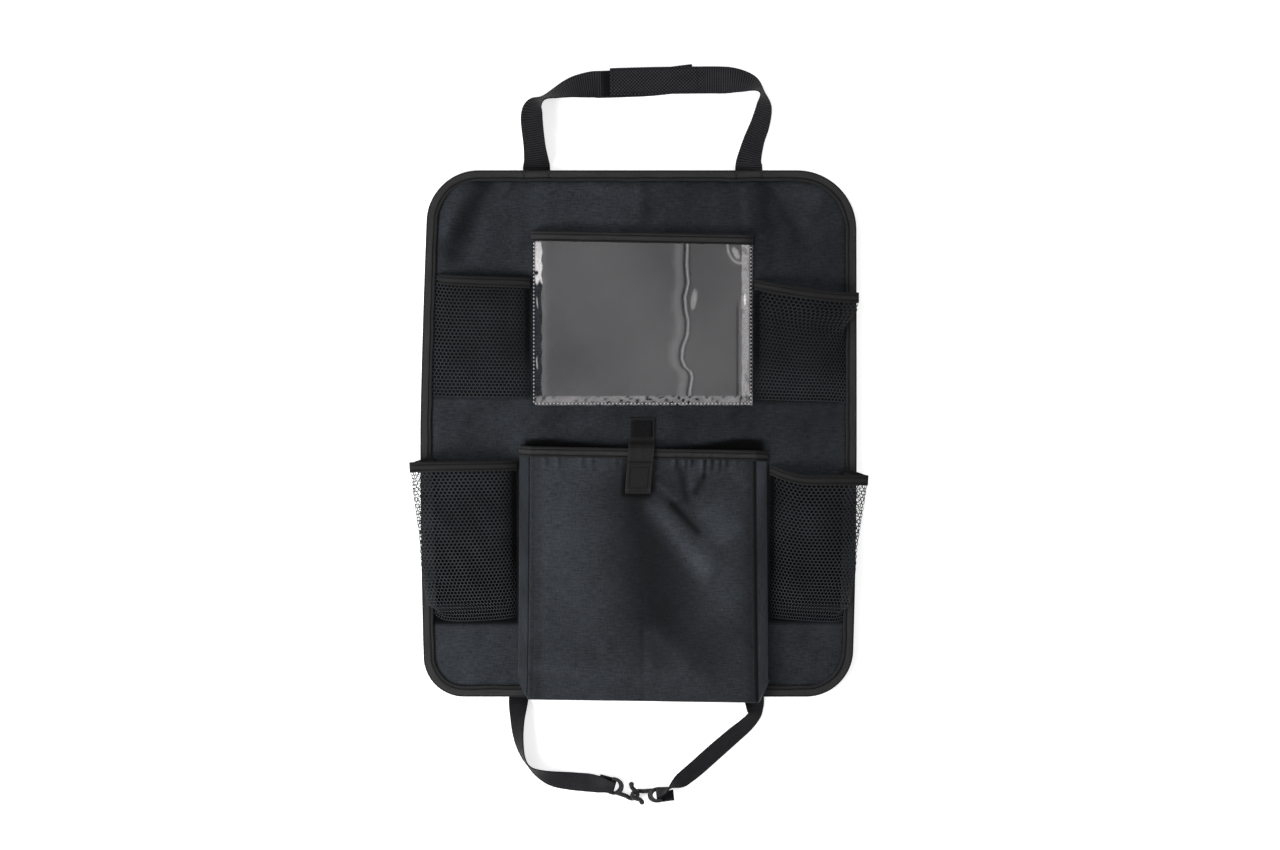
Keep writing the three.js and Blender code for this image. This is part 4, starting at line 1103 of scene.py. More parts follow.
# Net pockets

def laid_section(inner, leg_end, seat, height):
    """A net's section where it stays inside the binding, as [distance out, height]."""
    section = [(lerp(inner, leg_end - 3, reach), seat + bulge * height)
               for reach, bulge in zip(NET_REACH, NET_BULGE)]
    return section + [(leg_end - 0.8, seat + 0 * height), (leg_end + 6, seat + 0 * height)]


def folded_section(inner, edge, past, seat, height):
    """A net's section where it folds over the binding and back under it."""
    over = LEG_TOP + GAP + TAPE_THICKNESS + GAP + NET_SHEET / 2 + 0.2
    leg_end = edge - EDGE_LEG
    reach = edge - inner
    back = np.minimum(edge - 5, edge + past - 3)
    level = 0 * height
    return [
        (inner + 0 * edge, seat + level), (inner + 0.1 * reach, seat + 0.42 * height),
        (inner + 0.3 * reach, seat + 0.8 * height), (inner + 0.58 * reach, seat + height),
        (inner + 0.84 * reach, seat + 0.95 * height), (edge + 0.8 * past, seat + 0.76 * height),
        (edge + past, np.maximum(seat + 0.55 * height, over + 1.5)),
        (lerp(back, edge + past, 0.66), over + 0.6 + level), (back, over + level),
        (leg_end - 1.5, over - 0.2 + level), (leg_end - 3.2, (over + seat) / 2 + level),
        (leg_end - 1.2, seat + level), (leg_end + 6, seat + level),
    ]


def net_surface(pocket, u, v):
    """u runs from the inner seam to the edge tucked under the binding."""
    seat = PANEL_TOP + GAP + NET_SHEET / 2
    shape = np.clip(v / 0.88, 0, 1)
    height = pocket["bulge"] * (1 - (1 - shape) ** 2.2)
    fold = 0 * shape
    past = pocket["overhang"] + 0 * shape
    dip = pocket["dip"] * (1 - ease(0, pocket["dip_end"], u))
    mouth = lerp(*pocket["mouth"], u) + dip
    if pocket["overhang"] > 1:
        fold = ease(0.02, 0.14, shape)
        past = pocket["overhang"] * ease(0.4, 1.05, v) - 7 * (1 - ease(0, 0.42, v))
        mouth = mouth + 8 * ease(0.5, 0.76, u)
    elif pocket["overhang"]:
        fold = ease(NET_TUCK_START, 1, shape)
    bottom = lerp(*pocket["bottom"], u) - pocket["sag"] * np.sin(math.pi * u)
    y = lerp(bottom, mouth, v)
    lift = (TAPE_THICKNESS + GAP) * ease(0.7, 1, shape)
    edge = panel_edge(pocket["side"], y)
    inner = abs(pocket["inner"])
    laid = laid_section(inner, edge - EDGE_LEG, seat, height)
    folded = folded_section(inner, edge, past, seat, height)
    section = []
    for k, (flat, lapped) in enumerate(zip(laid, folded)):
        raised = lift * (1 - k / 3) if k < 3 else 0
        x = lerp(flat[0], lapped[0], fold)
        z = lerp(flat[1], lapped[1], fold) + raised
        section.append(np.stack([x, z], -1))
    place = catmull(np.stack(section, -2), u)
    x, z = place[..., 0], place[..., 1]
    z = z + net_folds(pocket, x * pocket["side"], y, u, v)
    return np.stack([x * pocket["side"], y, z], -1)


def net_folds(pocket, x, y, u, v):
    """Slack in the net, away from its seams and its mouth."""
    loose = ease(0.05, 0.25, v) * (1 - ease(0.8, 0.95, v)) * ease(0.05, 0.2, u) * (
        1 - ease(0.4, 0.62, u))
    amount = 0.09 * pocket["bulge"]
    return amount * loose * (ripple(x, y, 60, 31 + pocket["side"])
                             + 0.5 * ripple(x, y, 24, 37 + pocket["side"]))


def flat_grid(surface, columns, rows):
    """A sheet's points spread evenly over its cloth, and that cloth's size. Its rows are
    even as seen from the front, because the cloth stretches where it bulges."""
    u = np.linspace(0, 1, 200)
    v = np.linspace(0, 1, 200)
    uu, vv = np.meshgrid(u, v, indexing="ij")
    grid = surface(uu, vv)
    height = arc_lengths(grid, 1).mean(0)[-1]
    tall = grid[..., 1].mean(0)
    vs = np.interp(np.linspace(tall[0], tall[-1], rows), tall, v)
    uu, vv = np.meshgrid(u, vs, indexing="ij")
    wide = arc_lengths(surface(uu, vv), 0)
    width = wide[-1].mean()
    us = np.stack([np.interp(np.linspace(0, wide[-1, j], columns), wide[:, j], u)
                   for j in range(rows)], 1)
    return surface(us, np.broadcast_to(vs[None], us.shape)), width, height


class Cloth:
    """Looks up points and normals on a sheet by place on its flat cloth."""

    def __init__(self, grid, width, height):
        self.grid, self.normals = grid, grid_normals(grid)
        self.width, self.height = width, height

    def at(self, s, t):
        columns, rows = self.grid.shape[:2]
        x = np.clip(s / self.width, 0, 1) * (columns - 1)
        y = np.clip(t / self.height, 0, 1) * (rows - 1)
        i, j = np.minimum(x.astype(int), columns - 2), np.minimum(y.astype(int), rows - 2)
        a, b = (x - i)[:, None], (y - j)[:, None]

        def blend(g):
            low = g[i, j] * (1 - a) + g[i + 1, j] * a
            high = g[i, j + 1] * (1 - a) + g[i + 1, j + 1] * a
            return low * (1 - b) + high * b

        return blend(self.grid), unit(blend(self.normals))


def hexagon_net(cloth, pitch, thread_at):
    """A closed net of six-sided holes over a cloth. thread_at gives the threads' width
    at a place on the cloth."""
    rise = pitch * math.sqrt(3) / 2
    across = int(cloth.width / pitch) + 2
    up = int(cloth.height / rise) + 2

    def centre(i, j):
        return (i + 0.5 * (j % 2)) * pitch, j * rise

    def inside(i, j):
        s, t = centre(i, j)
        return (NET_MARGIN < s < cloth.width - NET_MARGIN
                and NET_MARGIN < t < cloth.height - NET_MARGIN)

    def neighbour(i, j, k):
        odd = j % 2
        steps = ((1, 0), (odd, 1), (odd - 1, 1), (-1, 0), (odd - 1, -1), (odd, -1))
        return i + steps[k % 6][0], j + steps[k % 6][1]

    places, numbers, tops, walls = [], {}, [], []

    def corner(cell, k):
        key = (cell, k % 6)
        if key not in numbers:
            s, t = centre(*cell)
            radius = (pitch - thread_at(s, t)) / math.sqrt(3)
            angle = math.radians(60 * (k % 6) - 30)
            numbers[key] = len(places)
            places.append((s + radius * math.cos(angle), t + radius * math.sin(angle)))
        return numbers[key]

    kept = {(i, j) for i in range(-2, across + 2) for j in range(-2, up + 2) if inside(i, j)}
    for i in range(-2, across + 2):
        for j in range(-2, up + 2):
            cell = (i, j)
            for k in range(3):
                other = neighbour(i, j, k)
                if cell in kept or other in kept:
                    a, b = corner(cell, k), corner(other, k + 4)
                    c, d = corner(other, k + 3), corner(cell, k + 1)
                    tops.append([a, b, c, d])
                    walls += [(b, c), (d, a)]
            for k in range(2):
                b, c = neighbour(i, j, k), neighbour(i, j, k + 1)
                trio = (cell, b, c)
                if not any(one in kept for one in trio):
                    continue
                ends = [corner(cell, k + 1), corner(b, k + 3), corner(c, k + 5)]
                tops.append(ends)
                for n in range(3):
                    if trio[n] not in kept and trio[(n + 1) % 3] not in kept:
                        walls.append((ends[n], ends[(n + 1) % 3]))
    flat = np.array(places)
    flat[:, 0] = np.clip(flat[:, 0], 0, cloth.width)
    flat[:, 1] = np.clip(flat[:, 1], 0, cloth.height)
    middle, normals = cloth.at(flat[:, 0], flat[:, 1])
    below = len(flat)
    half = normals * NET_THREAD_HEIGHT / 2
    points = np.concatenate([middle + half, middle - half])
    faces = tops + [[q + below for q in face[::-1]] for face in tops]
    faces += [[b, a, a + below, b + below] for a, b in walls]
    return points, faces, np.concatenate([flat, flat])


def net_painted_shading(pocket, x, y, along):
    """Painted shade over a net: dark beside its inner seam, a painted highlight near its foot, and
    darker higher up.
    """
    across = np.abs(x) - abs(pocket["inner"])
    tone = -0.4 * (1 - ease(3, 20, across)) - 0.5 * (1 - ease(3, 7, across))
    tone = tone + 0.85 * bell(along, 0.12, 0.17) + 0.12 * ripple(x, y, 60, 61)
    tone = tone - 0.08 * ease(-135, -95, y) - 0.05 * ease(20, 60, y)
    return np.clip(tone, -0.95, 0.9)


def build_net(name, pocket, sizes, looks):
    def surface(u, v):
        return net_surface(pocket, u if pocket["side"] > 0 else 1 - u, v)

    grid, width, height = flat_grid(surface, 170, 150)
    cloth = Cloth(grid, width, height)
    edge = panel_edge(pocket["side"], grid[..., 1])
    beyond = np.abs(grid[..., 0]) > edge
    thread = sizes.net_thread / MM

    def thread_at(s, t):
        """Wider towards the mouth, and thin where the net is stretched past the panel."""
        across, along = np.clip((s / width, t / height), 0, 1)
        if beyond[int(across * (len(beyond) - 1)), int(along * (beyond.shape[1] - 1))]:
            return 0.7 * thread
        return thread * (0.66 + (0.19 + pocket["weft"]) * float(ease(0.12, 0.5, along)))

    points, faces, lay = hexagon_net(cloth, sizes.net_pitch / MM, thread_at)
    tone = net_painted_shading(pocket, points[:, 0], points[:, 1], lay[:, 1] / height)
    net = make_piece(f"{name}_net_mesh", points, faces, looks["net"], lay,
                     [f"{name}_net"], tone)
    last = 0.8 if pocket["overhang"] == 0 else 0.76
    first, last = (0.0, last) if pocket["side"] > 0 else (1 - last, 1.0)
    tape, threads = build_mouth_tape(name, surface, first, last, 70, NET_SHEET, sizes, looks,
                                     shade=(0.0, 0.5, -0.35))
    width * MM
    height * MM
    0.62 * width * height * MM * MM


# Main pocket

GUSSET_SHARE = 4 / 26
FOLD_SHARE = 6 / 14
PUCKERS = (
    (-104, 9, 0.5), (-90, 12, 0.6), (-64, 10, 0.5), (-53, 14, 0.5), (-27, 9, 0.4),
    (39, 14, 0.8), (50, 20, 0.9), (56, 16, 0.9), (70, 34, 1.2), (78, 18, 1.0), (87, 20, 0.9),
    (94, 14, 0.8), (106, 10, 0.5),
)


def gusset_rise(u):
    return np.clip(np.minimum(u, 1 - u) / GUSSET_SHARE, 0, 1) ** 0.8


def pocket_across(u, v):
    spread = (1 - v) ** 2
    left = POCKET["foot_left"] - POCKET["foot_spread"] * spread
    right = POCKET["foot_right"] + POCKET["foot_spread"] * spread
    ridge_left = POCKET["foot_left"] + POCKET["lean"] - POCKET["ridge_spread"] * spread
    ridge_right = POCKET["foot_right"] - POCKET["lean"] + POCKET["ridge_spread"] * spread
    share = GUSSET_SHARE
    front = lerp(ridge_left, ridge_right, (u - share) / (1 - 2 * share))
    x = np.where(u < share, lerp(left, ridge_left, u / share), front)
    return np.where(u > 1 - share, lerp(right, ridge_right, (1 - u) / share), x)


def pocket_surface(u, v):
    """Front and gussets in one cloth: u across, v from the bottom seam to the mouth."""
    u, v = np.broadcast_arrays(np.asarray(u, float), np.asarray(v, float))
    rise = gusset_rise(u)
    edge = -TOP
    out = edge - lerp(POCKET["overhang_left"], POCKET["overhang_right"], u)
    seam = edge + POCKET["seam_inset"] + 0 * u
    path = np.stack([
        np.stack([y + 0 * u, share + 0 * u], -1) for y, share in (
            (seam, 0), (seam - 1.5, 0.24), (edge + 4, 0.4), (out + 1, 0.55), (out, 0.75),
            (out + 3, 0.93), (out + 14, 1))], -2)
    mouth = lerp(POCKET["mouth_left"], POCKET["mouth_right"], u)
    fold_top = out + 14
    laid_top = fold_top + 12
    low = v < FOLD_SHARE
    t_low = np.clip(v / FOLD_SHARE, 0, 1)
    p = catmull(path, t_low)
    y_low = lerp(lerp(seam, laid_top, t_low), p[..., 0], rise)
    t_high = (v - FOLD_SHARE) / (1 - FOLD_SHARE)
    y_high = lerp(lerp(laid_top, fold_top, rise), mouth, t_high)
    y = np.where(low, y_low, y_high)
    share = np.where(low, p[..., 1], 1.0)
    lift = (TAPE_THICKNESS + GAP) * ease(0.8, 0.93, v) * (1 - rise)
    depth = lerp(POCKET["depth"], POCKET["mouth_depth"], ease(0.6, 0.94, v))
    seat = PANEL_TOP + GAP + CLOTH / 2
    x = pocket_across(u, v)
    z = seat + lift + depth * rise * share
    z = z + pocket_relief(x, y, u)
    return np.stack([x, y, z], -1)


def pocket_relief(x, y, u):
    """Creases, puckers and soft swells of the pocket's front."""
    side = np.minimum(u, 1 - u) - GUSSET_SHARE
    front = ease(0.0, 0.02, side + 0.02)
    inside = ease(0.015, 0.06, side)
    ridge = -0.7 * bell(side, 0.012, 0.008)
    clear_top = 1 - ease(-30, -18, y)
    swell = 3.4 * bell(x, -84, 42) * bell(y, -130, 130)
    swell = swell + 3.2 * np.exp(-((x - 84) / 30) ** 2 - ((y + 96) / 48) ** 2)
    swell = swell + 2.2 * np.exp(-((x - 104) / 26) ** 2 - ((y + 200) / 60) ** 2)
    swell = swell - 2.6 * bell(x + 0.12 * (y + 150), 14, 22) * (1 - ease(-70, -40, y)) * ease(
        -262, -215, y)
    fold = 2.6 * crease(x, y, (26, -66), (84, -168), 11) - 1.7 * crease(
        x, y, (50, -62), (96, -132), 8)
    middle = -0.25 * bell(x, 5.5, 3.5) * (1 - ease(-75, -55, y))
    waves = 0.7 * ripple(x, y, 70, 41) + 0.3 * ripple(x, y, 24, 43)
    small = 0
    for at, length, tall in PUCKERS:
        lean = at + 0.06 * (y + 25) * math.copysign(1, at)
        small = small + 1.5 * tall * bell(x, lean, 2.8) * ease(-36 - length, -29, y)
    small = small - 0.35 * ease(-60, -30, y)
    bottom = 1.4 * crease(x, y, (-100, -258), (-20, -268), 7) + 1.2 * crease(
        x, y, (30, -254), (100, -262), 8) - 1.2 * crease(x, y, (-128, -214), (-40, -236), 9)
    notch = -1.6 * bell(y + 0.5 * (x - 120), -232, 3.0) * ease(122, 126, x)
    return (front * ridge * clear_top + inside * (swell + fold + middle + waves + bottom)
            * clear_top + notch + inside * small * (1 - ease(-27, -22, y)))


# Painted shade and highlight lines along the pocket's folds: start, end, half width and how much
# lighter or darker
POCKET_SHADES = (
    ((12, -76), (76, -152), 11, 0.95), ((60, -130), (104, -190), 15, 0.3),
    ((78, -78), (98, -118), 19, 0.42), ((34, -75), (68, -111), 4.2, -0.75),
    ((45, -34), (53, -76), 4.5, -0.55), ((72, -44), (61, -68), 4.5, -0.65),
    ((20, -55), (42, -73), 4, 0.4), ((58, -34), (58, -62), 4.5, 0.35),
    ((62, -122), (112, -98), 7, 0.18), ((110, -210), (70, -262), 22, -0.22),
    ((12, -214), (52, -258), 9, 0.3), ((-122, -256), (-60, -260), 5, 0.2),
    ((-60, -262), (60, -268), 8, 0.16), ((-126, -236), (-70, -222), 10, -0.14),
    ((100, -36), (118, -60), 7, 0.25),
)


def pocket_painted_shading(x, y, u):
    """Painted light and shade on the pocket's cloth: a lighter left half, a dark valley, lines
    along its folds and puckers, a much lighter right gusset, a dark fold beside each gusset and the
    closure strap's painted shadow.
    """
    side = np.minimum(u, 1 - u) - GUSSET_SHARE
    # Painted light and shade: a lighter left half and a dark valley down the middle.
    tone = 0.05 + 0.42 * bell(x, -84, 46) * ease(-330, -60, y)
    valley = bell(x + 0.16 * (y + 120), 12, 42) * (1 - ease(-60, -20, y)) * ease(-290, -200, y)
    tone = tone - 0.75 * valley - 0.12 * bell(x, 3.5, 2.5) * (1 - ease(-215, -190, y))
    tone = tone + 0.14 * bell(x, 9.5, 4) * ease(-275, -262, y) * (1 - ease(-225, -205, y))
    tone = tone + creases(x, y, POCKET_SHADES)
    # Painted shade and highlight beside each pucker under the mouth.
    for at, length, tall in PUCKERS:
        lean = at + 3.4 + 0.06 * (y + 25) * math.copysign(1, at)
        tone = tone - 0.85 * tall * bell(x, lean, 1.8) * ease(-34 - 0.7 * length, -29, y)
        tone = tone + 0.6 * tall * bell(x, lean - 3.8, 1.6) * ease(-34 - 0.6 * length, -29, y)
    # Painted shade beside each gusset's ridge; the right gusset gets much lighter painted light,
    # the left about as usual, each with a dark painted fold line.
    tone = tone - 0.35 * bell(side, 0.02, 0.02)
    gusset = 1 - ease(-0.02, 0.0, side)
    tone = lerp(tone, np.where(x < 0, -0.05, 1.25) + 0.15 * ripple(x, y, 40, 47), gusset)
    tone = tone - 1.1 * bell(side, np.where(x < 0, -0.02, 0.001), 0.0075)
    # Painted shadow of the closure strap on the pocket.
    closure = ease(-19, -15, x - 0.03 * y) * (1 - ease(14, 18, x - 0.03 * y)) * ease(-74, -66, y)
    return np.clip(tone - 0.45 * closure, -0.92, 1.4)


def build_pocket(sizes, looks):
    share = GUSSET_SHARE
    edge = 0.04
    u = packed([0, share - edge, share + edge, 1 - share - edge, 1 - share + edge, 1],
               (8, 34, 160, 34, 8))
    v = packed([0, FOLD_SHARE, 0.88, 1], (34, 96, 40))
    uu, vv = np.meshgrid(u, v, indexing="ij")
    grid = pocket_surface(uu, vv)
    points, faces, lay = shell(grid, CLOTH)
    tone = pocket_painted_shading(grid[..., 0], grid[..., 1], uu).ravel()
    pocket = make_piece("main_pocket_cloth", points, faces, looks["pocket_cloth"],
                        lay, ["main_pocket"], np.concatenate([tone, 0 * tone]))
    binding, threads = build_mouth_tape(
        "main_pocket", pocket_surface, 0.0, 1.0, 200, CLOTH, sizes, looks)


def front_height(y):
    """Height of the pocket's outer face at y, in its middle."""
    v = np.linspace(FOLD_SHARE, 1, 600)
    line = pocket_surface(np.full_like(v, 0.5), v)
    return np.interp(y, line[:, 1], line[:, 2]) + CLOTH / 2


# Straps

STRAP_STEPS = 12  # from one station to the next


def strap_frames(stations, edge, turn, width):
    """Centre, across, along of a strap through its listed stations."""
    stations = np.array(stations, float)
    count = (len(stations) - 1) * STRAP_STEPS
    t = np.linspace(0, 1, count + 1)
    path = catmull(np.c_[stations[:, 0], stations[:, 1] + edge, 0 * stations[:, 0]], t)
    attitude = catmull(stations[:, 2:4], t)
    along = unit(np.gradient(path, axis=0))
    tilt = np.radians(np.maximum(attitude[:, 0], 0))
    inward = np.stack([-along[:, 1] * turn, along[:, 0] * turn, 0 * tilt], 1)
    across = inward * np.cos(tilt)[:, None]
    across[:, 2] = np.sin(tilt)
    path[:, 2] = (width / 2) * np.sin(tilt) + (WEBBING / 2) * np.cos(tilt) + np.maximum(
        attitude[:, 1], 0)
    return path, across * turn, along


RIBBON_ACROSS = np.array([-1, -0.985, -0.93, -0.8, -0.5, -0.17, 0.17, 0.5, 0.8, 0.93, 0.985, 1])
RIBBON_PROFILE = np.array([0.25, 0.85, 1.0, 0.9, 0.86, 0.86, 0.86, 0.86, 0.9, 1.0, 0.85, 0.25])


def ribbon(centre, across, along, width, thickness):
    """A flat woven strip with firm, rounded selvedges."""
    normal = unit(np.cross(along, across))
    width = np.broadcast_to(np.asarray(width, float), centre.shape[:1])
    half = (thickness / 2) * RIBBON_PROFILE
    place = RIBBON_ACROSS[None, :] * width[:, None] / 2
    low = (centre[:, None] + across[:, None] * place[..., None]
           - normal[:, None] * half[None, :, None])
    high = (centre[:, None] + across[:, None] * place[:, ::-1, None]
            + normal[:, None] * half[None, ::-1, None])
    rings = np.concatenate([low, high], 1)
    points, faces = loft(rings)
    far = np.broadcast_to(arc_lengths(centre)[:, None], rings.shape[:2])
    wide = np.concatenate([place, place[:, ::-1]], 1)
    return points, faces, np.stack([wide, far], -1).reshape(-1, 2)


def upward(along, across):
    """A strap's normals, turned to point up."""
    normal = unit(np.cross(along, across))
    return np.where(normal[:, 2:] < 0, -normal, normal)


def strip_on(frames, first, width, offset):
    """Fastener tape along a strap from one of its frames on, standing off its upper face."""
    centre, across, along = (f[first:] for f in frames)
    return ribbon(centre + upward(along, across) * offset, across, along, width, FASTENER)


def box_stitch(stitching, frames, start, end, width, offset, inset):
    """A sewn rectangle on a strap between two distances along it."""
    centre, across, along = frames
    normal = upward(along, across)
    far = arc_lengths(centre)
    half = width / 2 - inset
    down = np.linspace(start, end, 12)
    aside = np.linspace(-half, half, 12)
    for distance, side in (
            (down, np.full(12, half)), (down, np.full(12, -half)),
            (np.full(12, start), aside), (np.full(12, end), aside)):
        normals = unit(read_along(normal, far, distance))
        points = (read_along(centre, far, distance)
                  + unit(read_along(across, far, distance)) * side[:, None] + normals * offset)
        stitching.row(points, normals, pitch=2.6, length=2.0)


def build_headrest_straps(sizes, looks):
    left = strap_frames(HEADREST_LEFT, TOP, -1, HEADREST_WIDTH)
    right = strap_frames(HEADREST_RIGHT, TOP, 1, HEADREST_WIDTH)
    offset = WEBBING / 2 + GAP + FASTENER / 2
    hook_start = len(left[0]) - 1 - 3 * STRAP_STEPS
    loop_start = len(right[0]) - 1 - int(10 / 3 * STRAP_STEPS)
    for side, frames in (("left", left), ("right", right)):
        points, faces, lay = ribbon(*frames, HEADREST_WIDTH, WEBBING)
        if side == "right":
            tone = 1 - ease(73, 75, points[:, 0])
        else:
            # Painted shade on the left strap's tilted leg.
            tone = -0.52 * (1 - ease(-100, -75, points[:, 0]))
        make_piece(f"headrest_strap_{side}_webbing", points, faces,
                                looks["webbing"], lay, [f"headrest_strap_{side}"],
                                tone)
    points, faces, lay = strip_on(left, hook_start, HEADREST_TAPE, offset)
    hook = make_piece("headrest_hook_tape_pile", points, faces, looks["hook_tape"],
                      lay, ["headrest_hook_tape"])
    points, faces, lay = strip_on(right, loop_start, HEADREST_TAPE, -offset)
    loop = make_piece("headrest_loop_tape_pile", points, faces, looks["loop_tape"],
                      lay, ["headrest_loop_tape"])
    length = {"left": arc_lengths(left[0])[-1], "right": arc_lengths(right[0])[-1]}
    stitching = Stitching(sizes)
    top = WEBBING / 2 - 0.02
    box_stitch(stitching, right, length["right"] - 96, length["right"] - 3, 30, top, 2.2)
    threads = stitching.build("headrest_strap_stitches", looks["thread"], "webbing")


# Closure strap

def closure_frames():
    half = WEBBING / 2
    seat = PANEL_TOP + GAP + half
    stack = 2 * (FASTENER + GAP) + GAP + half
    mouth = pocket_surface(np.array([0.5]), np.array([1.0]))[0]
    crest = mouth[2] + CLOTH / 2 + GAP + TAPE_THICKNESS + GAP + half + 0.6
    tape_end = mouth[1] - MOUTH_LEG
    end = CLOSURE["end"]

    def on_front(y):
        return front_height(y) + stack

    path = [
        (CLOSURE["base_top"], seat), (CLOSURE["base_top"] - 10, seat),
        (CLOSURE["base_end"], seat), (CLOSURE["base_end"] - 4, seat + 1.2),
        (mouth[1] + 4.5, (seat + crest) / 2 + 1), (mouth[1], crest),
        (tape_end, max(crest, on_front(tape_end))),
        (end + CLOSURE["fastener"] + 6, on_front(end + CLOSURE["fastener"] + 6)),
        (end + 8, on_front(end + 8)), (end, on_front(end))]
    line = np.array([(0.0, y, z) for y, z in path])
    t = np.linspace(0, 1, 120)
    centre = catmull(line, t)
    share = (CLOSURE["base_top"] - centre[:, 1]) / (CLOSURE["base_top"] - end)
    centre[:, 0] = lerp(CLOSURE["base_x"], CLOSURE["end_x"], ease(0.3, 1, share))
    along = unit(np.gradient(centre, axis=0))
    across = np.broadcast_to(np.array([1.0, 0, 0]), centre.shape)
    return centre, across, along


def patch(x, width, bottom, top, height_at):
    """A square of fastener tape that follows a surface."""
    u = np.linspace(-0.5, 0.5, 10)[:, None]
    y = np.linspace(bottom, top, 14)[None]
    u, y = np.broadcast_arrays(u, y)
    return shell(np.stack([x + u * width, y, height_at(y)], -1), FASTENER)


def closure_painted_shading(across, y):
    """Painted highlights on the selvedges, the hem and a band under the mouth, and painted shade in
    a crease and the stitch grooves.
    """
    tone = 0.5 * ease(12.6, 13.4, np.abs(across)) - 0.55 * bell(y, -10.5, 1.4)
    band = ease(-30, -28, y) * (1 - ease(-14, -12, y))
    tone = tone + band * (0.15 + 0.35 * bell(across, -4, 2) + 0.3 * bell(across, 5.5, 1.6))
    hem = -62 + 1.5 * np.cos(across / 9.0)
    sewn = bell(np.abs(across), 10, 0.8) * ease(-63, -61, y) * (1 - ease(-33, -31, y))
    sewn = np.maximum(sewn, bell(y, -60, 0.8) * (1 - ease(10, 11, np.abs(across))))
    return tone - 0.7 * np.maximum(sewn, bell(y, -31.4, 1)) + 0.9 * bell(y, hem, 0.9) * (1 - sewn)


def build_closure(sizes, looks):
    frames = closure_frames()
    centre, across, along = frames
    points, faces, lay = ribbon(centre, across, along, CLOSURE["width"], WEBBING)
    strap = make_piece("closure_strap_elastic", points, faces, looks["elastic"],
                       lay, ["closure_strap"],
                       closure_painted_shading(lay[:, 0], points[:, 1]))
    width = CLOSURE["width"] - 2 * CLOSURE["inset"]
    end = CLOSURE["end"]
    half = FASTENER / 2
    for name, offset, look, slot in (
            ("closure_loop_patch", GAP + half, "loop_tape", "loop_tape"),
            ("closure_hook_patch", 2 * GAP + FASTENER + half, "hook_tape", "hook_tape")):
        points, faces, lay = patch(
            CLOSURE["end_x"], width, end + 2, end + CLOSURE["fastener"] + 2,
            lambda y, o=offset: front_height(y) + o)
        make_piece(f"{name}_pile", points, faces, looks[look], lay, [name])
    seat = PANEL_TOP + GAP + WEBBING + GAP + half
    points, faces, lay = patch(
        CLOSURE["base_x"], width, CLOSURE["base_top"] - CLOSURE["base_patch"],
        CLOSURE["base_top"] - CLOSURE["inset"], lambda y: seat + 0 * y)
    make_piece("closure_base_patch_pile", points, faces, looks["hook_tape"],
                             lay, ["closure_base_patch"])
    stitching = Stitching(sizes)
    length = arc_lengths(centre)[-1]
    top = WEBBING / 2 - 0.02
    box_stitch(stitching, frames, length - 29, length - 4, CLOSURE["width"], top, 4.2)
    threads = stitching.build("closure_stitches", looks["thread"], "closure_webbing")


# Hooks and seat straps. In a hook's own plane, a runs from the strap's bar to the ring.

def hook_axes(heading, tilt, flip):
    h, t = math.radians(heading), math.radians(tilt)
    a = np.array([math.cos(h), math.sin(h), 0])
    b = np.array([-a[1], a[0], 0]) * flip * math.cos(t)
    b[2] = math.sin(t)
    return {"a": a, "b": b, "n": np.cross(a, b)}


def hook_places():
    left = hook_axes(HOOK["left_heading"], HOOK["left_tilt"], 1)
    x, y, z = HOOK["left_eye"]
    left["eye"] = np.array([x, y - TOP, z])
    ring = left["eye"] + left["a"] * HOOK["along"] + left["b"] * HOOK["aside"]
    apart = 2 * (HOOK["ring"] - HOOK["wire"]) - HOOK["play"]
    pull = math.radians(HOOK["link_heading"])
    right = hook_axes(HOOK["right_heading"], HOOK["right_tilt"], -1)
    step = np.array([apart * math.cos(pull), apart * math.sin(pull), HOOK["link_rise"]])
    right["eye"] = ring + step - right["a"] * HOOK["along"] - right["b"] * HOOK["aside"]
    return left, right


def bar_loop(place, turn):
    """The strap's end round the hook's bar, and its sewn tail."""
    steps = 22
    bar = place["eye"] + place["a"] * (-HOOK["eye_length"] / 2 + HOOK["bar"] / 2)
    radius = math.hypot(HOOK["bar"], HOOK["thickness"]) / 2 + GAP + WEBBING / 2
    width = 2 * (HOOK["slot_half"] - 3 * GAP)
    up = place["n"] if place["n"][2] > 0 else -place["n"]
    angle = math.pi / 2 - np.linspace(0, 1, steps) * math.pi
    centre = bar + radius * (np.cos(angle)[:, None] * place["a"] + np.sin(angle)[:, None] * up)
    along = np.sin(angle)[:, None] * place["a"] - np.cos(angle)[:, None] * up
    tail_share = np.linspace(0, 1, 9)[1:]
    tail = centre[-1] + (up * 0.8 - place["a"] * SEAT_TAIL) * tail_share[:, None]
    centre = np.concatenate([centre, tail])
    along = np.concatenate([along, np.repeat(along[-1:], len(tail), 0)])
    across = np.broadcast_to(place["b"] * turn, centre.shape)
    widths = np.concatenate([np.full(steps, width), width + 1.5 * tail_share])
    return centre, across, along, widths


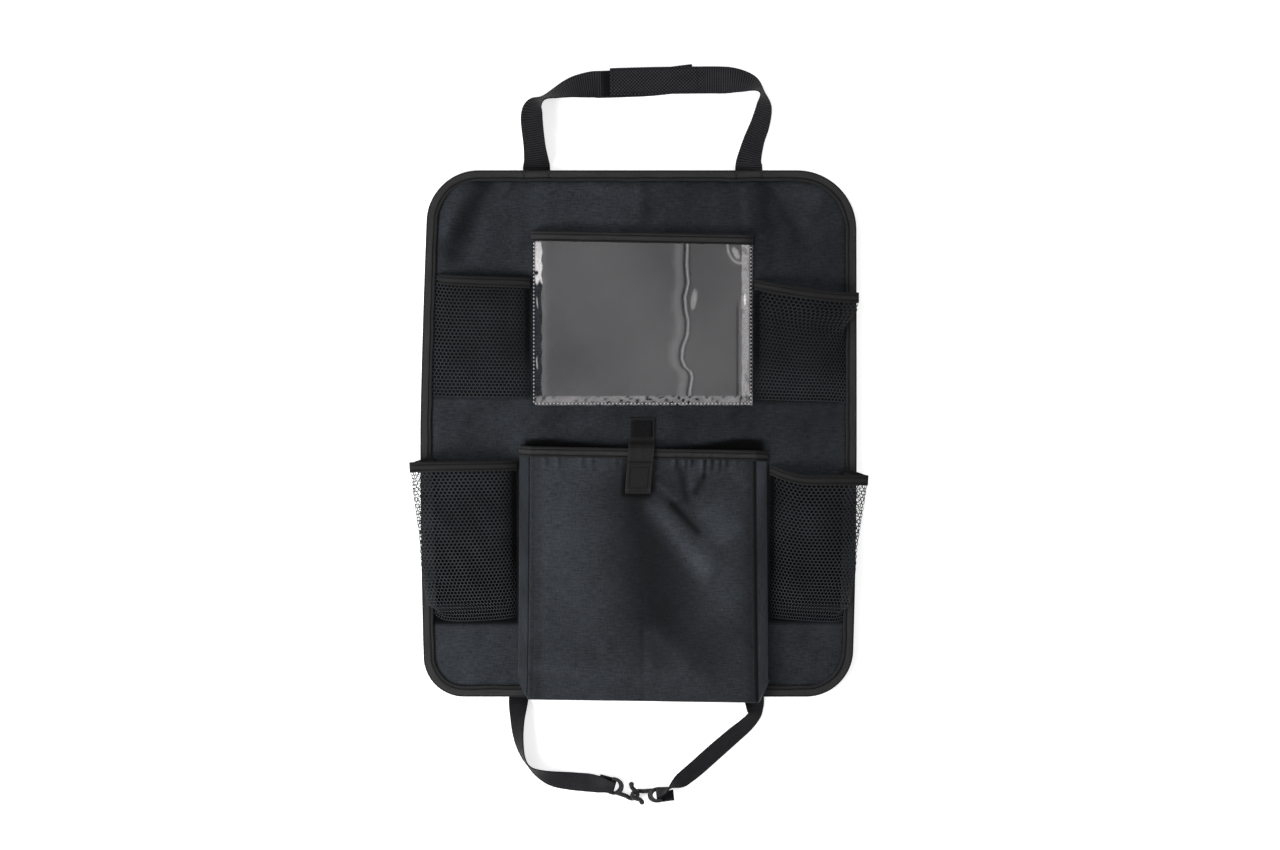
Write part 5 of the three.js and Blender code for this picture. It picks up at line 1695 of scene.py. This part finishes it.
def seat_strap_frames(stations, place, turn):
    path, across, along = strap_frames(stations, -TOP, turn, SEAT_WIDTH)
    loop, loop_across, loop_along, loop_width = bar_loop(place, turn)
    start, lead = loop[0], path[-1]
    reach = np.linalg.norm(lead - start)
    t = np.linspace(0, 1, 26)[1:-1, None]
    p = [lead, lead + along[-1] * reach * 0.35, start - loop_along[0] * reach * 0.35, start]
    between = ((1 - t) ** 3 * p[0] + 3 * (1 - t) ** 2 * t * p[1] + 3 * (1 - t) * t**2 * p[2]
               + t**3 * p[3])
    slope = (3 * (1 - t) ** 2 * (p[1] - p[0]) + 6 * (1 - t) * t * (p[2] - p[1])
             + 3 * t**2 * (p[3] - p[2]))
    turn_across = unit(lerp(across[-1][None], loop_across[0][None], t))
    width = lerp(SEAT_WIDTH, loop_width[0], ease(0.4, 1, t[:, 0]))
    return (np.concatenate([path, between, loop]),
            np.concatenate([across, turn_across, loop_across]),
            np.concatenate([along, unit(slope), loop_along]),
            np.concatenate([np.full(len(path), SEAT_WIDTH), width, loop_width]))


def build_seat_straps(looks):
    left, right = hook_places()
    for side, stations, place, turn in (("left", SEAT_LEFT, left, 1),
                                        ("right", SEAT_RIGHT, right, -1)):
        centre, across, along, width = seat_strap_frames(stations, place, turn)
        points, faces, lay = ribbon(centre, across, along, width, WEBBING)
        # Painted shade on the left strap's tilted leg, and both straps a little darker all over.
        tone = -0.42 * (1 - ease(-128, -90, points[:, 0])) - 0.22
        strap = make_piece(f"seat_strap_{side}_webbing", points, faces,
                           looks["smooth_webbing"], lay, [f"seat_strap_{side}"],
                           tone)
        length = arc_lengths(centre)[-1]


def finish_hooks(looks):
    """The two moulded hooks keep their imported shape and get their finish."""
    for name in ("strap_hook_left", "strap_hook_right"):
        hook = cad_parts[name]
        hook.data.materials.clear()
        hook.data.materials.append(looks["plastic"])
        hook.data.polygons.foreach_set("use_smooth", np.ones(len(hook.data.polygons), bool))
        hook.data.set_sharp_from_angle(angle=math.radians(38))


# Stage

def area_light(name, place, size, power):
    """A rectangular lamp aimed at the middle, which gloss doesn't mirror."""
    light = bpy.data.lights.new(name, "AREA")
    light.shape = "RECTANGLE"
    light.size, light.size_y = size
    light.energy = power
    lamp = bpy.data.objects.new(name, light)
    bpy.context.scene.collection.objects.link(lamp)
    lamp.location = place
    lamp.visible_glossy = False
    lamp.rotation_euler = (-Vector(place)).to_track_quat("-Z", "Y").to_euler()


def build_world():
    """An even studio for diffuse light, a softbox overhead for gloss, and a white ground
    for the camera."""
    world = bpy.data.worlds.new("studio")
    bpy.context.scene.world = world
    world.use_nodes = True
    nodes = Nodes(world.node_tree)
    out = nodes.tree.nodes.new("ShaderNodeOutputWorld")
    height = nodes.split(nodes.node("ShaderNodeTexCoord", output=0))[2]
    softbox = nodes.node("ShaderNodeMapRange", {"interpolation_type": "SMOOTHSTEP"}, {
        "Value": height, "From Min": 0.25, "From Max": 0.50,
        "To Min": GLOSS_SIDE, "To Max": GLOSS_OVERHEAD})
    path = nodes.tree.nodes.new("ShaderNodeLightPath")
    glossy, camera, through = (Value(nodes.tree, path.outputs[f"Is {kind} Ray"])
                               for kind in ("Glossy", "Camera", "Transmission"))
    seen = (camera + through).clamp()
    level = AMBIENT * (1 - glossy) + softbox * glossy
    sky = nodes.node("ShaderNodeBackground", None, {"Strength": level * (1 - seen) + seen})
    nodes.tree.links.new(sky.socket, out.inputs["Surface"])


def build_floor():
    """A pale floor that looks white to the camera and keeps the organizer's shadow."""
    finish = Finish("pale_floor")
    diffuse = finish.node("ShaderNodeBsdfDiffuse", None, {"Color": (0.93, 0.93, 0.93, 1)})
    glow = finish.node("ShaderNodeEmission", None, {"Color": (1, 1, 1, 1), "Strength": FLOOR_GLOW})
    both = finish.node("ShaderNodeAddShader", None, {0: diffuse, 1: glow})
    seen = finish.node("ShaderNodeLightPath")
    finish.closed(finish.node("ShaderNodeMixShader", None, {0: seen, 1: diffuse, 2: both}))
    mesh = bpy.data.meshes.new("floor")
    reach = 6.0
    corners = [(x * reach, y * reach, FLOOR_HEIGHT)
               for x, y in ((-1, -1), (1, -1), (1, 1), (-1, 1))]
    mesh.from_pydata(corners, [], [(0, 1, 2, 3)])
    mesh.materials.append(finish.material)
    floor = bpy.data.objects.new("floor", mesh)
    bpy.context.scene.collection.objects.link(floor)


def build_stage():
    scene = bpy.context.scene
    scene.view_settings.view_transform = "Standard"
    camera = bpy.data.cameras.new("camera")
    camera.sensor_fit = "HORIZONTAL"
    camera.sensor_width = 36.0
    camera.lens = camera.sensor_width * VIEW_HEIGHT / VIEW_WIDTH
    camera.clip_end = 30.0
    eye = bpy.data.objects.new("camera", camera)
    scene.collection.objects.link(eye)
    eye.location = (*VIEW_CENTRE, VIEW_HEIGHT + VIEW_PLANE)
    scene.camera = eye
    build_world()
    build_floor()
    for name, (place, size, power) in LAMPS.items():
        area_light(name, place, size, power)


# Add-on

class OrganizerSizes(bpy.types.PropertyGroup):
    """Fine sizes of the organizer's cloth and thread."""

    stitch_length: bpy.props.FloatProperty(
        name="Stitch length", description="Length of one visible stitch", default=0.0026,
        min=0.0005, max=0.01, unit="LENGTH")
    stitch_pitch: bpy.props.FloatProperty(
        name="Stitch pitch", description="Distance from one stitch to the next",
        default=0.0034, min=0.001, max=0.02, unit="LENGTH")
    thread_width: bpy.props.FloatProperty(
        name="Thread width", description="Thickness of the sewing thread", default=0.00055,
        min=0.0001, max=0.002, unit="LENGTH")
    net_pitch: bpy.props.FloatProperty(
        name="Net pitch", description="Distance between the net's holes", default=0.0043,
        min=0.0015, max=0.02, unit="LENGTH")
    net_thread: bpy.props.FloatProperty(
        name="Net thread", description="Width of the net between two holes",
        default=0.0009, min=0.0002, max=0.01, unit="LENGTH")
    weave_pitch: bpy.props.FloatProperty(
        name="Weave pitch", description="Width of one thread of the woven cloth",
        default=0.0006, min=0.0002, max=0.01, unit="LENGTH")
    rib_pitch: bpy.props.FloatProperty(
        name="Rib pitch", description="Distance between the binding tape's ribs",
        default=0.0009, min=0.0002, max=0.01, unit="LENGTH")


def colour_property(name, description, default):
    return bpy.props.FloatVectorProperty(
        name=name, description=description, subtype="COLOR", size=3, default=default,
        min=0.0, max=1.0)


class OrganizerColours(bpy.types.PropertyGroup):
    """Colours of the organizer's materials."""

    cloth: colour_property("Cloth", "Panel and pocket cloth", (0.0223, 0.0249, 0.0291))
    binding: colour_property("Binding", "Tape round the edges", (0.0335, 0.0335, 0.0338))
    net: colour_property("Net", "Net pockets", (0.0295, 0.0312, 0.0342))
    webbing: colour_property("Webbing", "Straps", (0.0180, 0.0180, 0.0202))
    elastic: colour_property("Elastic", "Closure strap", (0.0125, 0.0125, 0.0130))
    pile: colour_property("Pile", "Hook tape and loop tape", (0.0070, 0.0070, 0.0078))
    plastic: colour_property("Plastic", "Strap hooks", (0.0090, 0.0090, 0.0100))
    thread: colour_property("Thread", "Sewing thread", (0.0040, 0.0040, 0.0044))
    seam: colour_property("Seam", "Thread round the window film", (0.62, 0.62, 0.64))
    film: colour_property("Film", "Gloss on the window film", (0.98, 0.95, 0.96))


LOOKS = {}


def finishes(context):
    """The organizer's materials, made once from the scene's sizes and colours."""
    if LOOKS:
        return LOOKS
    sizes, colours = context.scene.organizer_sizes, context.scene.organizer_colours
    weave = sizes.weave_pitch / MM
    LOOKS.update(
        cloth=woven_cloth("panel_cloth", tuple(colours.cloth), weave),
        pocket_cloth=woven_cloth("pocket_cloth", tuple(colours.cloth), weave,
                                 sheen=0.1, roughness=0.5, specular=0.12),
        binding=ribbed_tape("binding_tape", tuple(colours.binding), sizes.rib_pitch / MM),
        net=net_thread("net", tuple(colours.net)),
        webbing=strap_webbing("webbing", tuple(colours.webbing)),
        smooth_webbing=strap_webbing("smooth_webbing", tuple(colours.webbing),
                                     rib=1.7, relief=0.3),
        elastic=elastic_band("closure_webbing", tuple(colours.elastic)),
        hook_tape=pile_tape("hook_tape", tuple(colours.pile), 1.1),
        loop_tape=pile_tape("loop_tape", tuple(colours.pile), 0.7),
        plastic=moulded_plastic("black_plastic", tuple(colours.plastic)),
        thread=thread_finish("thread", tuple(colours.thread)),
        seam=thread_finish("film_thread", tuple(colours.seam)),
        film=clear_film("clear_film", tuple(colours.film)),
    )
    return LOOKS


class PieceOperator:
    """Shared by the operators that build one group of pieces."""

    bl_options = {"REGISTER", "UNDO"}

    def execute(self, context):
        self.build(context.scene.organizer_sizes, finishes(context))
        return {"FINISHED"}


class ORGANIZER_OT_panel(PieceOperator, bpy.types.Operator):
    """Build the back panel, its edge binding and their stitches"""

    bl_idname = "organizer.panel"
    bl_label = "Panel"

    def build(self, sizes, looks):
        build_panel(sizes, looks)


class ORGANIZER_OT_window(PieceOperator, bpy.types.Operator):
    """Build the clear window pocket"""

    bl_idname = "organizer.window"
    bl_label = "Window"

    def build(self, sizes, looks):
        build_window(sizes, looks)


class ORGANIZER_OT_nets(PieceOperator, bpy.types.Operator):
    """Build the four net pockets"""

    bl_idname = "organizer.nets"
    bl_label = "Net pockets"

    def build(self, sizes, looks):
        for name, pocket in NETS.items():
            build_net(name, pocket, sizes, looks)


class ORGANIZER_OT_pocket(PieceOperator, bpy.types.Operator):
    """Build the main pocket with its gussets and binding"""

    bl_idname = "organizer.pocket"
    bl_label = "Main pocket"

    def build(self, sizes, looks):
        build_pocket(sizes, looks)


class ORGANIZER_OT_closure(PieceOperator, bpy.types.Operator):
    """Build the closure strap and its patches"""

    bl_idname = "organizer.closure"
    bl_label = "Closure strap"

    def build(self, sizes, looks):
        build_closure(sizes, looks)


class ORGANIZER_OT_headrest(PieceOperator, bpy.types.Operator):
    """Build the headrest straps and their tapes"""

    bl_idname = "organizer.headrest"
    bl_label = "Headrest straps"

    def build(self, sizes, looks):
        build_headrest_straps(sizes, looks)


class ORGANIZER_OT_seat(PieceOperator, bpy.types.Operator):
    """Build the seat straps and finish their hooks"""

    bl_idname = "organizer.seat"
    bl_label = "Seat straps"

    def build(self, sizes, looks):
        build_seat_straps(looks)
        finish_hooks(looks)


class ORGANIZER_OT_stage(bpy.types.Operator):
    """Set up the camera, the lights and the floor"""

    bl_idname = "organizer.stage"
    bl_label = "Stage"
    bl_options = {"REGISTER", "UNDO"}

    def execute(self, context):
        build_stage()
        return {"FINISHED"}


STEPS = (ORGANIZER_OT_panel, ORGANIZER_OT_window, ORGANIZER_OT_nets, ORGANIZER_OT_pocket,
         ORGANIZER_OT_closure, ORGANIZER_OT_headrest, ORGANIZER_OT_seat, ORGANIZER_OT_stage)


class ORGANIZER_PT_sidebar(bpy.types.Panel):
    """Lists the organizer's parts, sizes and colours"""

    bl_idname = "ORGANIZER_PT_sidebar"
    bl_label = "Seat Back Organizer"
    bl_space_type = "VIEW_3D"
    bl_region_type = "UI"
    bl_category = "Organizer"

    def draw(self, context):
        for step in STEPS:
            self.layout.operator(step.bl_idname)
        for group in (context.scene.organizer_sizes, context.scene.organizer_colours):
            box = self.layout.box()
            for key in group.__annotations__:
                box.prop(group, key)


CLASSES = (OrganizerSizes, OrganizerColours, *STEPS, ORGANIZER_PT_sidebar)


def register():
    for item in CLASSES:
        bpy.utils.register_class(item)
    bpy.types.Scene.organizer_sizes = bpy.props.PointerProperty(type=OrganizerSizes)
    bpy.types.Scene.organizer_colours = bpy.props.PointerProperty(type=OrganizerColours)


def unregister():
    del bpy.types.Scene.organizer_colours
    del bpy.types.Scene.organizer_sizes
    for item in reversed(CLASSES):
        bpy.utils.unregister_class(item)


def main():
    register()
    for step in ("panel", "window", "nets", "pocket", "closure", "headrest", "seat", "stage"):
        getattr(bpy.ops.organizer, step)()


if __name__ == "__main__":
    main()
